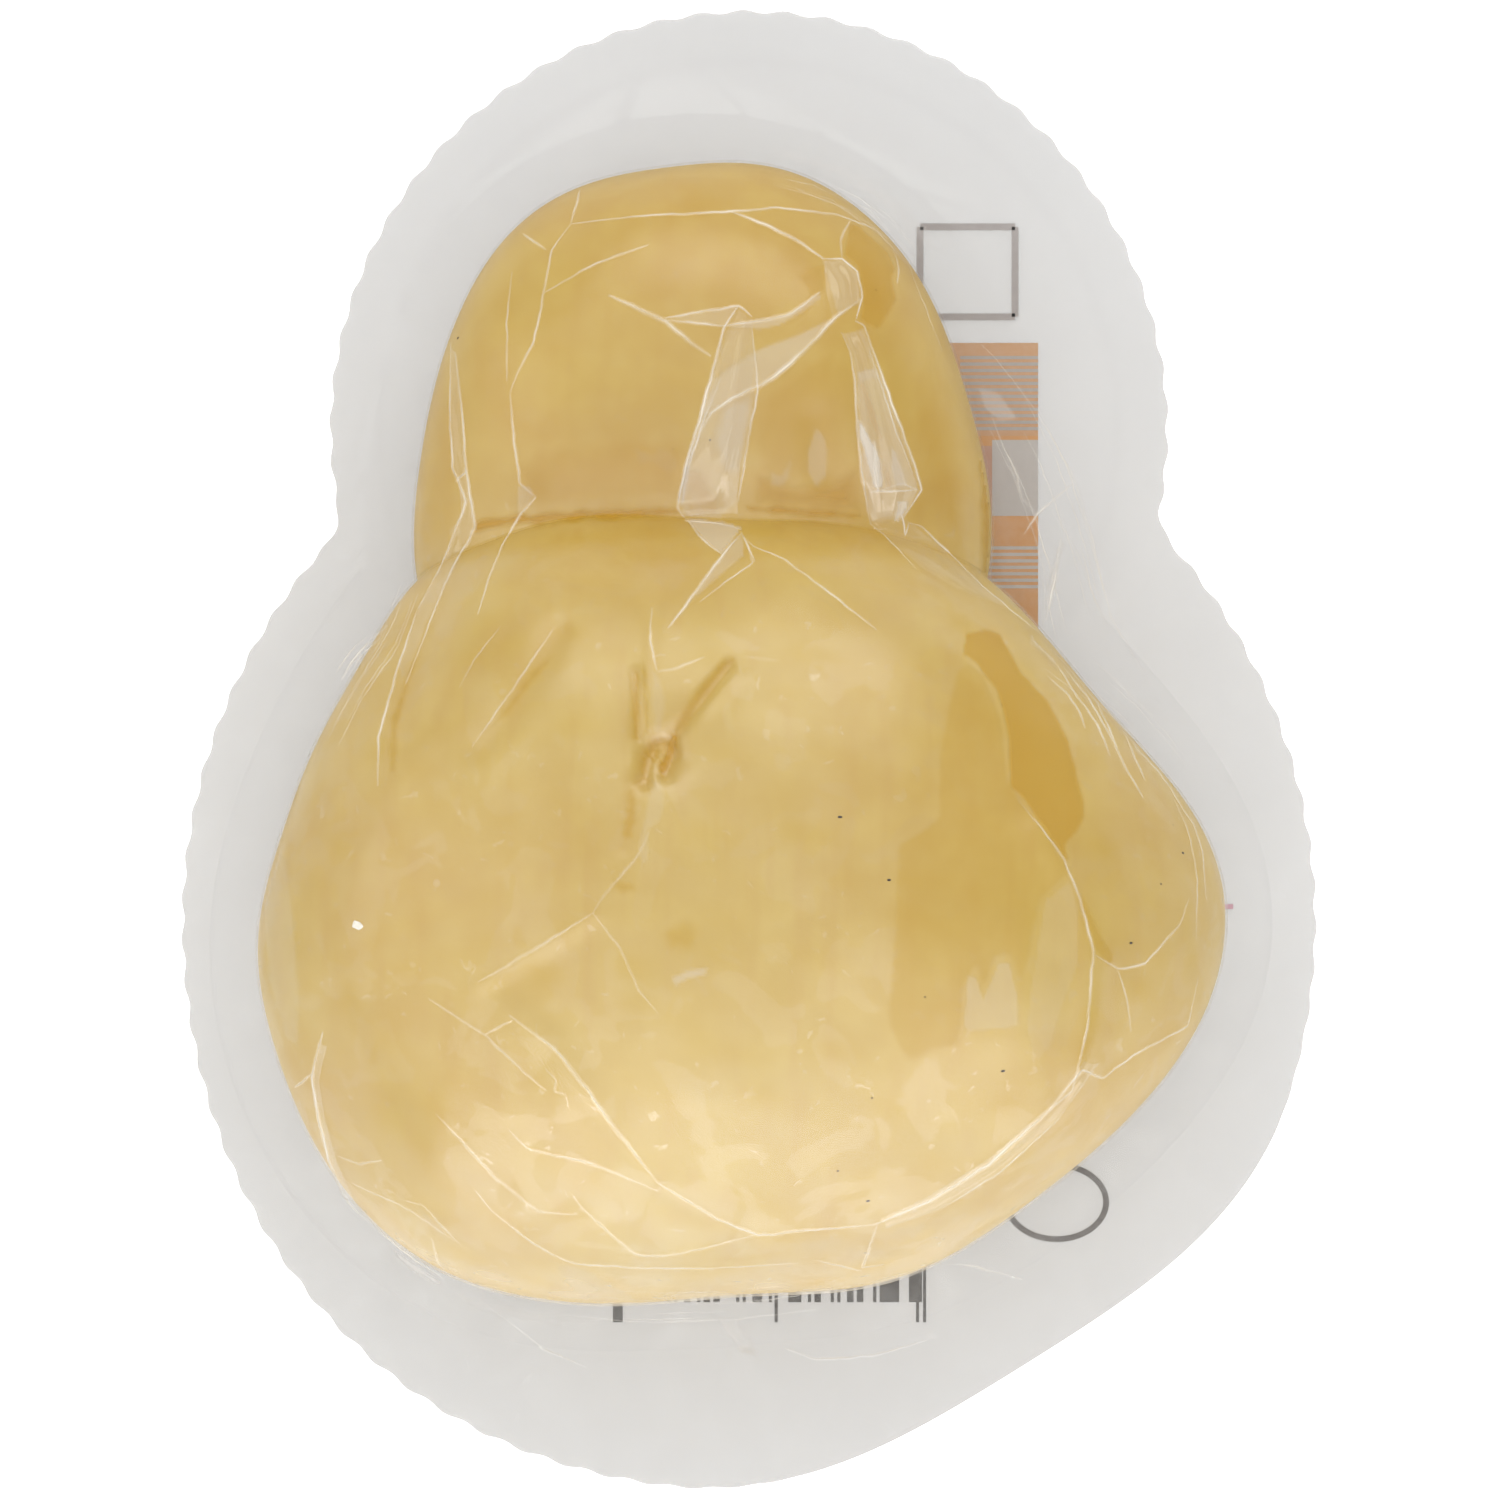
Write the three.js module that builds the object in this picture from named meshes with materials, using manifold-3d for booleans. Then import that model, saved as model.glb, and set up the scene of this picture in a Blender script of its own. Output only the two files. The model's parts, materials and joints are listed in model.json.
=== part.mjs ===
// A smoked scamorza in its vacuum pack: a pear-shaped cheese, pinched at the neck, lying on a
// white backing sheet under a clear film that is drawn tight over it and welded round the border.
// Millimetres, +Z up. The sheet lies on z = 0, centred on the origin, and the cheese's head points to +Y.
import * as THREE from "three";
import { mergeVertices } from "three/addons/utils/BufferGeometryUtils.js";
import Module from "manifold-3d";

// Backing sheet: two round lobes that meet at a waist, with a wavy die-cut edge.
const PACK_LENGTH = 142;
const BODY_LOBE_RADIUS = 54.5;
const HEAD_LOBE_RADIUS = 40.3;
const SHEET_THICKNESS = 0.3;
const WAIST_FILLET = 5;
const WAVE_PITCH = 4.1;
const WAVE_DEPTH = 0.32;
const STEPS_PER_WAVE = 6;

// Seen from the body lobe's centre, the sheet's edge is cut flatter at the lower right, where the
// pack is peeled open, and stands out a little at the lower left. It isn't waved round the peel corner.
const PEEL_CORNER = { inset: 4.4, angle: -58, halfAngle: 40 };
const FULL_CORNER = { inset: -1.1, angle: -130, halfAngle: 50 };
const PLAIN_EDGE = { angle: -53, halfAngle: 60 };

// Film: below the cheese's widest line it is drawn in, then spreads in a foot on the sheet.
const FOOT_SPREAD = 6;
const FOOT_SHARPNESS = 3;
const DRAWN_IN = 1.6;

// Neck: where the cord was tied, the head sinks towards the body.
const NECK_Y = 21;
const NECK_DEPTH = 1;
const NECK_HALF_WIDTH = 4;

// Dimple: a small pucker in the upper middle of the body.
const DIMPLE = { at: [-8, 0.3], depth: 1.5, radius: 3.4 };

// The cheese's two lobes. A lump adds so many bulges round the outline, each so high,
// the first one pointing at an angle in degrees counter-clockwise from +X. A web is a place where
// the film's foot runs further out, and a hollow is how deep the crown sinks at a place.
const BODY = {
  centre: [-1.8, -14.6],
  radius: 41.2,
  lumps: [
    { bulges: 1, height: 0.75, angle: -166 },
    { bulges: 2, height: 3.1, angle: 3 },
    { bulges: 3, height: 1.8, angle: -14 },
    { bulges: 5, height: 0.55, angle: -5 },
    { bulges: 6, height: 0.6, angle: 0 },
  ],
  widestAt: 20,
  height: 52,
  riseTowardsHead: 0,
  fullness: 2.3,
  web: { spread: 0, angle: 0, halfAngle: 1 },
  hollow: (x, y) => DIMPLE.depth * bell(Math.hypot(x - DIMPLE.at[0], y - DIMPLE.at[1]), DIMPLE.radius),
  segments: 80,
};
const HEAD = {
  centre: [-4.3, 25.2],
  radius: 28.7,
  lumps: [
    { bulges: 2, height: 1.3, angle: 100 },
    { bulges: 3, height: 1, angle: -35 },
    { bulges: 4, height: 0.65, angle: 43 },
  ],
  widestAt: 16,
  height: 34.4,
  riseTowardsHead: 0.1,
  fullness: 2.4,
  web: { spread: 6, angle: -25, halfAngle: 35 },
  hollow: (x, y) => NECK_DEPTH * bell(y - NECK_Y, NECK_HALF_WIDTH),
  segments: 64,
};
const DOME_RINGS = 18;
const SKIRT_RINGS = 7;

const radians = THREE.MathUtils.degToRad;
const wasm = await Module();
wasm.setup();

// A bell curve that is 1 at its middle and fades out past its half width.
function bell(distance, halfWidth) {
  return Math.exp(-((distance / halfWidth) ** 2));
}

// A closed geometry as a solid that can be joined to others.
function solidOf(geometry) {
  const bare = geometry.clone();
  bare.deleteAttribute("normal");
  bare.deleteAttribute("uv");
  const merged = mergeVertices(bare, 1e-3);
  return new wasm.Manifold(
    new wasm.Mesh({
      numProp: 3,
      vertProperties: merged.attributes.position.array,
      triVerts: new Uint32Array(merged.index.array),
    }),
  );
}

// A solid as a geometry, with one flat normal for each face.
function geometryOf(solid) {
  const mesh = solid.getMesh();
  const indexed = new THREE.BufferGeometry()
    .setAttribute("position", new THREE.BufferAttribute(mesh.vertProperties, 3))
    .setIndex(new THREE.BufferAttribute(mesh.triVerts, 1));
  const geometry = indexed.toNonIndexed();
  geometry.computeVertexNormals();
  return geometry;
}

// The lobe's widest outline, as a distance from its centre.
function outlineRadius(lobe, angle) {
  const bulge = ({ bulges, height, angle: first }) => height * Math.cos(bulges * (angle - radians(first)));
  return lobe.lumps.reduce((sum, lump) => sum + bulge(lump), lobe.radius);
}

// How high the lobe's crown is above a place on the sheet, before its edges round off.
function crownHeight(lobe, x, y) {
  return lobe.height + lobe.riseTowardsHead * (y - lobe.centre[1]) - lobe.hollow(x, y);
}

// How far the film stands out from the widest line, from there (drop 0) down to the sheet (1).
function filmSpread(lobe, angle, drop) {
  const turned = angle > Math.PI ? angle - 2 * Math.PI : angle;
  const web = lobe.web.spread * bell(turned - radians(lobe.web.angle), radians(lobe.web.halfAngle));
  return (FOOT_SPREAD + web) * drop ** FOOT_SHARPNESS - DRAWN_IN * Math.sin(Math.PI * drop);
}

// One ring of a lobe, from the crown (share 0) over the widest line (1) to the film's foot (2).
function lobeRing(lobe, share) {
  const climb = (Math.min(share, 1) * Math.PI) / 2;
  const drop = Math.max(share - 1, 0);
  const crown = Math.max(Math.cos(climb), 0) ** (2 / lobe.fullness);
  const ring = [];
  for (let i = 0; i < lobe.segments; i++) {
    const angle = (2 * Math.PI * i) / lobe.segments;
    const dome = outlineRadius(lobe, angle) * Math.sin(climb) ** (2 / lobe.fullness);
    const distance = dome + filmSpread(lobe, angle, drop);
    const x = lobe.centre[0] + distance * Math.cos(angle);
    const y = lobe.centre[1] + distance * Math.sin(angle);
    const rise = (crownHeight(lobe, x, y) - lobe.widestAt) * crown;
    const fall = (lobe.widestAt - SHEET_THICKNESS) * drop;
    ring.push(x, y, lobe.widestAt + rise - fall);
  }
  return ring;
}

// A lobe of cheese under its film, closed by a flat base that rests on the sheet.
function lobeGeometry(lobe) {
  const shares = [];
  for (let i = 1; i <= DOME_RINGS; i++) shares.push(i / DOME_RINGS);
  for (let i = 1; i <= SKIRT_RINGS; i++) shares.push(1 + i / SKIRT_RINGS);
  const [cx, cy] = lobe.centre;
  const positions = [cx, cy, crownHeight(lobe, cx, cy)];
  shares.forEach((share) => positions.push(...lobeRing(lobe, share)));
  const foot = positions.length / 3;
  positions.push(cx, cy, SHEET_THICKNESS);

  const at = (ring, i) => 1 + ring * lobe.segments + (i % lobe.segments);
  const faces = [];
  const last = shares.length - 1;
  for (let i = 0; i < lobe.segments; i++) {
    faces.push(0, at(0, i), at(0, i + 1));
    for (let ring = 0; ring < last; ring++) {
      faces.push(at(ring, i), at(ring + 1, i), at(ring + 1, i + 1));
      faces.push(at(ring, i), at(ring + 1, i + 1), at(ring, i + 1));
    }
    faces.push(foot, at(last, i + 1), at(last, i));
  }
  return new THREE.BufferGeometry()
    .setAttribute("position", new THREE.Float32BufferAttribute(positions, 3))
    .setIndex(faces);
}

// The cheese with its film: body and head joined, creased where they meet.
function wrappedScamorza() {
  const joined = solidOf(lobeGeometry(BODY)).add(solidOf(lobeGeometry(HEAD)));
  const material = new THREE.MeshStandardMaterial({ color: "#d3b16b", roughness: 0.32, metalness: 0 });
  const mesh = new THREE.Mesh(geometryOf(joined), material);
  mesh.name = "film_wrapped_scamorza";
  return mesh;
}

// The sheet's smooth outline, counter-clockwise: body lobe, waist, head lobe, waist.
function smoothOutline() {
  const bodyY = BODY_LOBE_RADIUS - PACK_LENGTH / 2;
  const headY = PACK_LENGTH / 2 - HEAD_LOBE_RADIUS;
  const apart = headY - bodyY;
  const toBody = BODY_LOBE_RADIUS + WAIST_FILLET;
  const toHead = HEAD_LOBE_RADIUS + WAIST_FILLET;
  const along = (apart ** 2 + toBody ** 2 - toHead ** 2) / (2 * apart);
  const filletX = Math.sqrt(toBody ** 2 - along ** 2);
  const filletY = bodyY + along;
  const fromBody = Math.atan2(along, filletX);
  const fromHead = Math.atan2(filletY - headY, filletX);
  const path = new THREE.Path();
  path.absarc(0, bodyY, BODY_LOBE_RADIUS, Math.PI - fromBody, 2 * Math.PI + fromBody, false);
  path.absarc(filletX, filletY, WAIST_FILLET, Math.PI + fromBody, Math.PI + fromHead, true);
  path.absarc(0, headY, HEAD_LOBE_RADIUS, fromHead, Math.PI - fromHead, false);
  path.absarc(-filletX, filletY, WAIST_FILLET, -fromHead, -fromBody, true);
  return { path, bodyY };
}

// How much of a corner is felt at an angle round the body lobe: 1 at its middle, 0 past its half angle.
function cornerShare(corner, angle) {
  const away = Math.abs(angle - corner.angle) / corner.halfAngle;
  return away < 1 ? Math.cos((away * Math.PI) / 2) ** 2 : 0;
}

// The die-cut outline: the smooth one, shaped at its two corners and waved along its length.
function wavyOutline() {
  const { path, bodyY } = smoothOutline();
  const waves = Math.round(path.getLength() / WAVE_PITCH);
  const steps = waves * STEPS_PER_WAVE;
  path.arcLengthDivisions = 4 * steps;
  path.updateArcLengths();
  const points = [];
  for (let i = 0; i < steps; i++) {
    const point = path.getPointAt(i / steps);
    const tangent = path.getTangentAt(i / steps);
    const inward = new THREE.Vector2(-tangent.y, tangent.x);
    const angle = THREE.MathUtils.radToDeg(Math.atan2(point.y - bodyY, point.x));
    const corners = [PEEL_CORNER, FULL_CORNER].map((corner) => corner.inset * cornerShare(corner, angle));
    const plain = Math.min(2 * cornerShare(PLAIN_EDGE, angle), 1);
    const wave = (1 - Math.cos((2 * Math.PI * i) / STEPS_PER_WAVE)) / 2;
    points.push(point.addScaledVector(inward, corners[0] + corners[1] + WAVE_DEPTH * wave * (1 - plain)));
  }
  return points;
}

// The backing sheet, as thick as both films welded together.
function backingSheet() {
  const outline = new THREE.Shape(wavyOutline());
  const geometry = new THREE.ExtrudeGeometry(outline, { depth: SHEET_THICKNESS, bevelEnabled: false });
  const material = new THREE.MeshStandardMaterial({ color: "#dedcd9", roughness: 0.4, metalness: 0 });
  const mesh = new THREE.Mesh(geometry, material);
  mesh.name = "backing_sheet";
  return mesh;
}

const pack = new THREE.Group();
pack.add(backingSheet(), wrappedScamorza());

export default pack;
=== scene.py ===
"""A smoked scamorza in its vacuum pack, dressed for a studio picture from straight above.

The cheese lies on a milky backing sheet with a wavy die-cut edge, under a clear film that is drawn tight
over it and welded to the sheet all round. Sizes are millimetres until a mesh is made, which is in metres.
Places read off the photograph are pixels of its 1500 by 1500 frame, named for what they show.
"""

import json
import logging
import math
from collections.abc import Iterator
from contextlib import contextmanager
from dataclasses import dataclass
from enum import Enum
from itertools import starmap
from typing import Any

import bmesh
import bpy
import numpy as np
from bpy.types import Material, Mesh, Node, NodeSocket, NodeTree, Object
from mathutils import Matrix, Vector
from mathutils.bvhtree import BVHTree

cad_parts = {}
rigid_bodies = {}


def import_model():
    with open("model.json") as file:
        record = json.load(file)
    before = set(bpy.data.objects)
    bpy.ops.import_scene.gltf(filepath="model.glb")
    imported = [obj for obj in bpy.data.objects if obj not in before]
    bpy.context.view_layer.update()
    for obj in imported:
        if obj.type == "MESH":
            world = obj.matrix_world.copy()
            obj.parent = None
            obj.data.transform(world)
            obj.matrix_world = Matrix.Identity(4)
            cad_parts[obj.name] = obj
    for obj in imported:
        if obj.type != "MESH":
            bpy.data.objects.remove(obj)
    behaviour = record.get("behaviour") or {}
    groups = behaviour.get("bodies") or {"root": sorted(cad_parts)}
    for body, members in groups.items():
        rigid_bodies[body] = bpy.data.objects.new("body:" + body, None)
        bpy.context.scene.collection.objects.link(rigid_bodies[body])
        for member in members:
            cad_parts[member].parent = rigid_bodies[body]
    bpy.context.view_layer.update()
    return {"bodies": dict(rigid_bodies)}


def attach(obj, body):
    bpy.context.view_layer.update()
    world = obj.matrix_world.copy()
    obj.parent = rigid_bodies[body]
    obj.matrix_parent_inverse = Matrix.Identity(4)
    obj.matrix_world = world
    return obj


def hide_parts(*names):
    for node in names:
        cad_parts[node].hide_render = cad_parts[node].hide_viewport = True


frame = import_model()

LOG = logging.getLogger("scamorza")
MM = 0.001
PACK_BODY = next(iter(frame["bodies"]))
NODE_FAMILIES = ("ShaderNode", "GeometryNode", "FunctionNode", "")

# Where the neck's looks change along the pack, how high above the widest line the grooves are whole, and
# between which heights the lumps come in.
NECK_BAND = (18.0, 25.0)
GROOVE_FADE = 4.0
LUMP_BAND = (2.0, 14.0)

# How straight a route runs from point to point, and its steps and margins in pixels.
TAUTNESS = 0.8
ROUTE_STEP = 2.0
RIM_STEP = 6.0
RIM_MARGIN = 4.0
PHASES = 6.28

# A route is the x and y of its pixels in turn, and a feed is what can be linked to a node's input.
Pixel = tuple[float, float]
Route = tuple[float, ...]
Colour = tuple[float, float, float, float]
Feed = Node | NodeSocket


class Slot(Enum):
    """The record's material slots, one given with each piece; nothing reads them."""

    SHEET = "backing_sheet"
    WRAPPED = "film_wrapped_scamorza"


class Lamp(Enum):
    """What a studio lamp is for."""

    FILL = "fill"
    SHINE = "shine"


class Print(Enum):
    """The simple shapes that the sheet is printed with."""

    PANEL = "panel"
    LINES = "lines"
    BARS = "bars"
    RING = "ring"
    FRAME = "frame"


# Shared helpers


def linear(hex_colour: str) -> Colour:
    """Turns an sRGB hex colour into linear light.

    Args:
        hex_colour: The colour as #rrggbb.

    Returns:
        Red, green, blue and an alpha of 1, linear.
    """
    channels = [int(hex_colour[i:i + 2], 16) / 255 for i in (1, 3, 5)]
    lit = [c / 12.92 if c <= 0.04045 else ((c + 0.055) / 1.055) ** 2.4 for c in channels]
    return (lit[0], lit[1], lit[2], 1.0)


def add_node(tree: NodeTree, kind: str, sockets: dict[Any, Any] | None = None, **settings: Any) -> Node:
    """Adds a node to a tree, with its settings, values and links.

    Args:
        tree: The shader or geometry tree.
        kind: Blender's name for the kind of node, without its family.
        sockets: For each input, by name or number, a value or what feeds it. A node feeds it by its
            first output in use.
        **settings: The node's own properties.

    Returns:
        The new node.
    """
    family = next(name for name in NODE_FAMILIES if hasattr(bpy.types, name + kind))
    node = tree.nodes.new(family + kind)
    for name, value in settings.items():
        setattr(node, name, value)
    for key, value in (sockets or {}).items():
        if isinstance(value, Node):
            value = next(output for output in value.outputs if output.enabled)
        if isinstance(value, NodeSocket):
            tree.links.new(value, node.inputs[key])
        else:
            node.inputs[key].default_value = value
    return node


def new_material(name: str) -> tuple[Material, NodeTree, Node]:
    """Starts a material whose patterns are placed in millimetres of the pack's frame.

    Args:
        name: What the material is.

    Returns:
        The material, its empty tree, and the node that gives the place in millimetres.
    """
    material = bpy.data.materials.new(name)
    material.use_nodes = True
    tree = material.node_tree
    tree.nodes.clear()
    coordinates = add_node(tree, "TexCoord")
    scale = (1 / MM, 1 / MM, 1 / MM)
    place = add_node(tree, "Mapping", {"Vector": coordinates.outputs["Object"], "Scale": scale})
    return material, tree, place


def mesh_object(name: str, points: np.ndarray, faces: list, edges: list | None = None) -> Object:
    """Makes an object at the origin from points in millimetres.

    Args:
        name: The object's name.
        points: One row for each vertex.
        faces: Vertex numbers of each face.
        edges: Vertex numbers of each loose edge.

    Returns:
        The new object, smooth shaded.
    """
    mesh = bpy.data.meshes.new(name)
    mesh.from_pydata((np.asarray(points) * MM).tolist(), edges or [], faces)
    mesh.shade_smooth()
    made = bpy.data.objects.new(name, mesh)
    bpy.context.scene.collection.objects.link(made)
    return made


def add_values(mesh: Mesh, **values: Any) -> None:
    """Stores numbers or vectors for each vertex of a mesh.

    Args:
        mesh: The mesh.
        **values: For each named attribute, a row of numbers or three columns of them.
    """
    for name, rows in values.items():
        numbers = np.asarray(rows, np.float32)
        kind, field_name = ("FLOAT", "value") if numbers.ndim == 1 else ("FLOAT_VECTOR", "vector")
        attribute = mesh.attributes.new(name, kind, "POINT")
        attribute.data.foreach_set(field_name, numbers.ravel())


@contextmanager
def edited(mesh: Mesh) -> Iterator[bmesh.types.BMesh]:
    """Opens a mesh for editing, and writes it back at the end.

    Args:
        mesh: The mesh.

    Yields:
        Its editable form.
    """
    shell = bmesh.new()
    shell.from_mesh(mesh)
    yield shell
    shell.to_mesh(mesh)
    shell.free()


def mesh_points(mesh: Mesh) -> np.ndarray:
    """Gives a mesh's vertices.

    Args:
        mesh: The mesh.

    Returns:
        Rows of millimetres.
    """
    points = np.empty(len(mesh.vertices) * 3)
    mesh.vertices.foreach_get("co", points)
    return points.reshape(-1, 3) / MM


def settled_mesh(made: Object) -> Mesh:
    """Gives the plain mesh that an object's modifiers make of it."""
    graph = bpy.context.evaluated_depsgraph_get()
    return bpy.data.meshes.new_from_object(made.evaluated_get(graph), depsgraph=graph)


def union(name: str, solids: list[Object]) -> Object:
    """Joins closed solids into one.

    Args:
        name: The joined object's name.
        solids: The solids, which are removed.

    Returns:
        The joined object.
    """
    first, *others = solids
    for other in others:
        join = first.modifiers.new("join", "BOOLEAN")
        join.operation = "UNION"
        join.solver = "MANIFOLD"
        join.object = other
    joined = bpy.data.objects.new(name, settled_mesh(first))
    bpy.context.scene.collection.objects.link(joined)
    for solid in solids:
        bpy.data.objects.remove(solid)
    return joined


def run_tree(made: Object, tree: NodeTree, values: dict[str, Any]) -> None:
    """Runs a Geometry Nodes tree on an object and keeps the result as its plain mesh.

    Args:
        made: The object, whose mesh is the tree's start.
        tree: The tree.
        values: A value for each of the tree's named inputs.
    """
    modifier = made.modifiers.new(tree.name, "NODES")
    modifier.node_group = tree
    for item in tree.interface.items_tree:
        if item.item_type == "SOCKET" and item.in_out == "INPUT" and item.name in values:
            modifier[item.identifier] = values[item.name]
    mesh = settled_mesh(made)
    made.modifiers.remove(modifier)
    made.data = mesh


def new_tree(name: str, inputs: dict[str, str]) -> tuple[NodeTree, Node]:
    """Starts a Geometry Nodes tree.

    Args:
        name: The tree's name.
        inputs: The socket type of each named input besides the geometry.

    Returns:
        The tree and its group input node.
    """
    tree = bpy.data.node_groups.new(name, "GeometryNodeTree")
    tree.interface.new_socket("Geometry", in_out="INPUT", socket_type="NodeSocketGeometry")
    tree.interface.new_socket("Geometry", in_out="OUTPUT", socket_type="NodeSocketGeometry")
    for label, kind in inputs.items():
        tree.interface.new_socket(label, in_out="INPUT", socket_type=kind)
    return tree, add_node(tree, "NodeGroupInput")


def end_tree(tree: NodeTree, geometry: Feed, material: Feed) -> None:
    """Ends a Geometry Nodes tree in real geometry with its material.

    Args:
        tree: The tree.
        geometry: What gives the finished geometry.
        material: What gives its material.
    """
    real = add_node(tree, "RealizeInstances", {"Geometry": geometry})
    dressed = add_node(tree, "SetMaterial", {"Geometry": real, "Material": material})
    add_node(tree, "NodeGroupOutput", {"Geometry": dressed})


def knots_of(route: Route | np.ndarray) -> np.ndarray:
    """Gives the points of a route, one row each."""
    return np.array(route, float).reshape(-1, 2)


def smooth_route(route: Route, step: float, taut: float = 0.0) -> np.ndarray:
    """Draws a smooth line through the points of a route.

    Args:
        route: Its points, in pixels.
        step: How far apart the drawn points are, in pixels.
        taut: From 0 for a curve to 1 for straight runs from point to point.

    Returns:
        The drawn points, one row each.
    """
    knots = knots_of(route)
    ends = np.vstack([2 * knots[0] - knots[1], knots, 2 * knots[-1] - knots[-2]])
    drawn = []
    for before, start, end, after in zip(ends, ends[1:], ends[2:], ends[3:]):
        count = max(2, math.ceil(np.linalg.norm(end - start) / step))
        t = np.linspace(0, 1, count, endpoint=False)[:, None]
        bend = 2 * before - 5 * start + 4 * end - after
        twist = 3 * (start - end) + after - before
        curve = 0.5 * t * ((end - before) + t * (bend + t * twist))
        drawn.append(start + curve + taut * (t * (end - start) - curve))
    drawn.append(knots[-1:])
    return np.vstack(drawn)


def even_route(route: Route, count: int) -> np.ndarray:
    """Draws a smooth line through a route, with evenly spaced points.

    Args:
        route: Its points, in pixels.
        count: How many points are drawn.

    Returns:
        The drawn points, one row each.
    """
    drawn = smooth_route(route, ROUTE_STEP, TAUTNESS)
    along = np.concatenate([[0], np.cumsum(np.linalg.norm(np.diff(drawn, axis=0), axis=1))])
    even = np.linspace(0, along[-1], count)
    return np.stack([np.interp(even, along, drawn[:, axis]) for axis in (0, 1)], -1)


def route_distance(places: np.ndarray, route: Route | np.ndarray) -> np.ndarray:
    """Measures how far places are from a route.

    Args:
        places: Points in pixels, one row each.
        route: The route's points, in pixels.

    Returns:
        The distance of each place, in pixels.
    """
    nearest = np.full(len(places), np.inf)
    knots = knots_of(route)
    for start, end in zip(knots, knots[1:]):
        run = end - start
        share = np.clip((places - start) @ run / (run @ run), 0, 1)[:, None]
        nearest = np.minimum(nearest, np.linalg.norm(places - start - share * run, axis=1))
    return nearest


def bell(distance: np.ndarray, half_width: float) -> np.ndarray:
    """Gives a bell curve that is 1 at its middle and fades out past its half width."""
    return np.exp(-((distance / half_width) ** 2))


def ramp(values: np.ndarray, start: float, end: float) -> np.ndarray:
    """Gives a value that goes evenly from 0 at the start to 1 at the end."""
    return np.clip((values - start) / (end - start), 0, 1)


def grid_faces(here: np.ndarray) -> np.ndarray:
    """Gives the four corners of each face of a net, from its vertex numbers by row and by column."""
    return np.stack([here[:-1, :-1], here[1:, :-1], here[1:, 1:], here[:-1, 1:]], -1).reshape(-1, 4)


@dataclass(frozen=True)
class PhotoView:
    """The photograph's view: straight down on the pack, from far enough to flatten it."""

    camera_height: float = 800.0
    focal_length: float = 200.0
    sensor: float = 36.0
    frame_pixels: int = 1500
    pack_middle: Pixel = (749.0, 749.5)

    @property
    def pixel(self) -> float:
        """Gives the millimetres on the sheet that one pixel spans."""
        return self.sensor / self.focal_length * self.camera_height / self.frame_pixels

    @property
    def eye(self) -> np.ndarray:
        """Gives the camera's place, in millimetres."""
        middle = self.frame_pixels / 2
        return np.append(self.on_sheet(np.array([middle, middle])), self.camera_height)

    def on_sheet(self, pixels: np.ndarray) -> np.ndarray:
        """Gives the places on the sheet that pixels show, in millimetres."""
        return (np.asarray(pixels, float) - self.pack_middle) * (self.pixel, -self.pixel)

    def pixels_of(self, points: np.ndarray) -> np.ndarray:
        """Gives the pixels that show points.

        Args:
            points: Rows of millimetres.

        Returns:
            One pixel for each point.
        """
        nearer = self.camera_height / (self.camera_height - points[..., 2:])
        flat = self.eye[:2] + (points[..., :2] - self.eye[:2]) * nearer
        return flat / (self.pixel, -self.pixel) + self.pack_middle


VIEW = PhotoView()


class Skin:
    """A finished surface that other pieces are laid on where the photograph shows them."""

    def __init__(self, piece: Object) -> None:
        """Takes the surface of a piece.

        Args:
            piece: The finished piece.
        """
        self.tree = BVHTree.FromObject(piece, bpy.context.evaluated_depsgraph_get())

    def seen(self, pixels: np.ndarray) -> tuple[np.ndarray, np.ndarray, np.ndarray]:
        """Finds the places on the surface that pixels show.

        Args:
            pixels: One row each.

        Returns:
            The places in millimetres and the surface's directions there, for the pixels that show it, and
            for each pixel whether it does.
        """
        eye = Vector(VIEW.eye * MM)
        places, normals, found = [], [], []
        for x, y in VIEW.on_sheet(pixels):
            hit, normal, _, _ = self.tree.ray_cast(eye, Vector((x * MM, y * MM, 0)) - eye)
            found.append(hit is not None)
            if hit is not None:
                places.append(hit)
                normals.append(normal)
        return np.array(places).reshape(-1, 3) / MM, np.array(normals).reshape(-1, 3), np.array(found, bool)


# Finishes


def head_share(tree: NodeTree, place: Feed) -> Node:
    """Adds a value that goes from 0 on the body to 1 on the head.

    Args:
        tree: The material's tree.
        place: The place in millimetres.

    Returns:
        The node that gives the value.
    """
    sides = add_node(tree, "SeparateXYZ", {0: place})
    low, high = NECK_BAND
    return add_node(tree, "MapRange", {"Value": sides.outputs["Y"], "From Min": low, "From Max": high})


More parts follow.
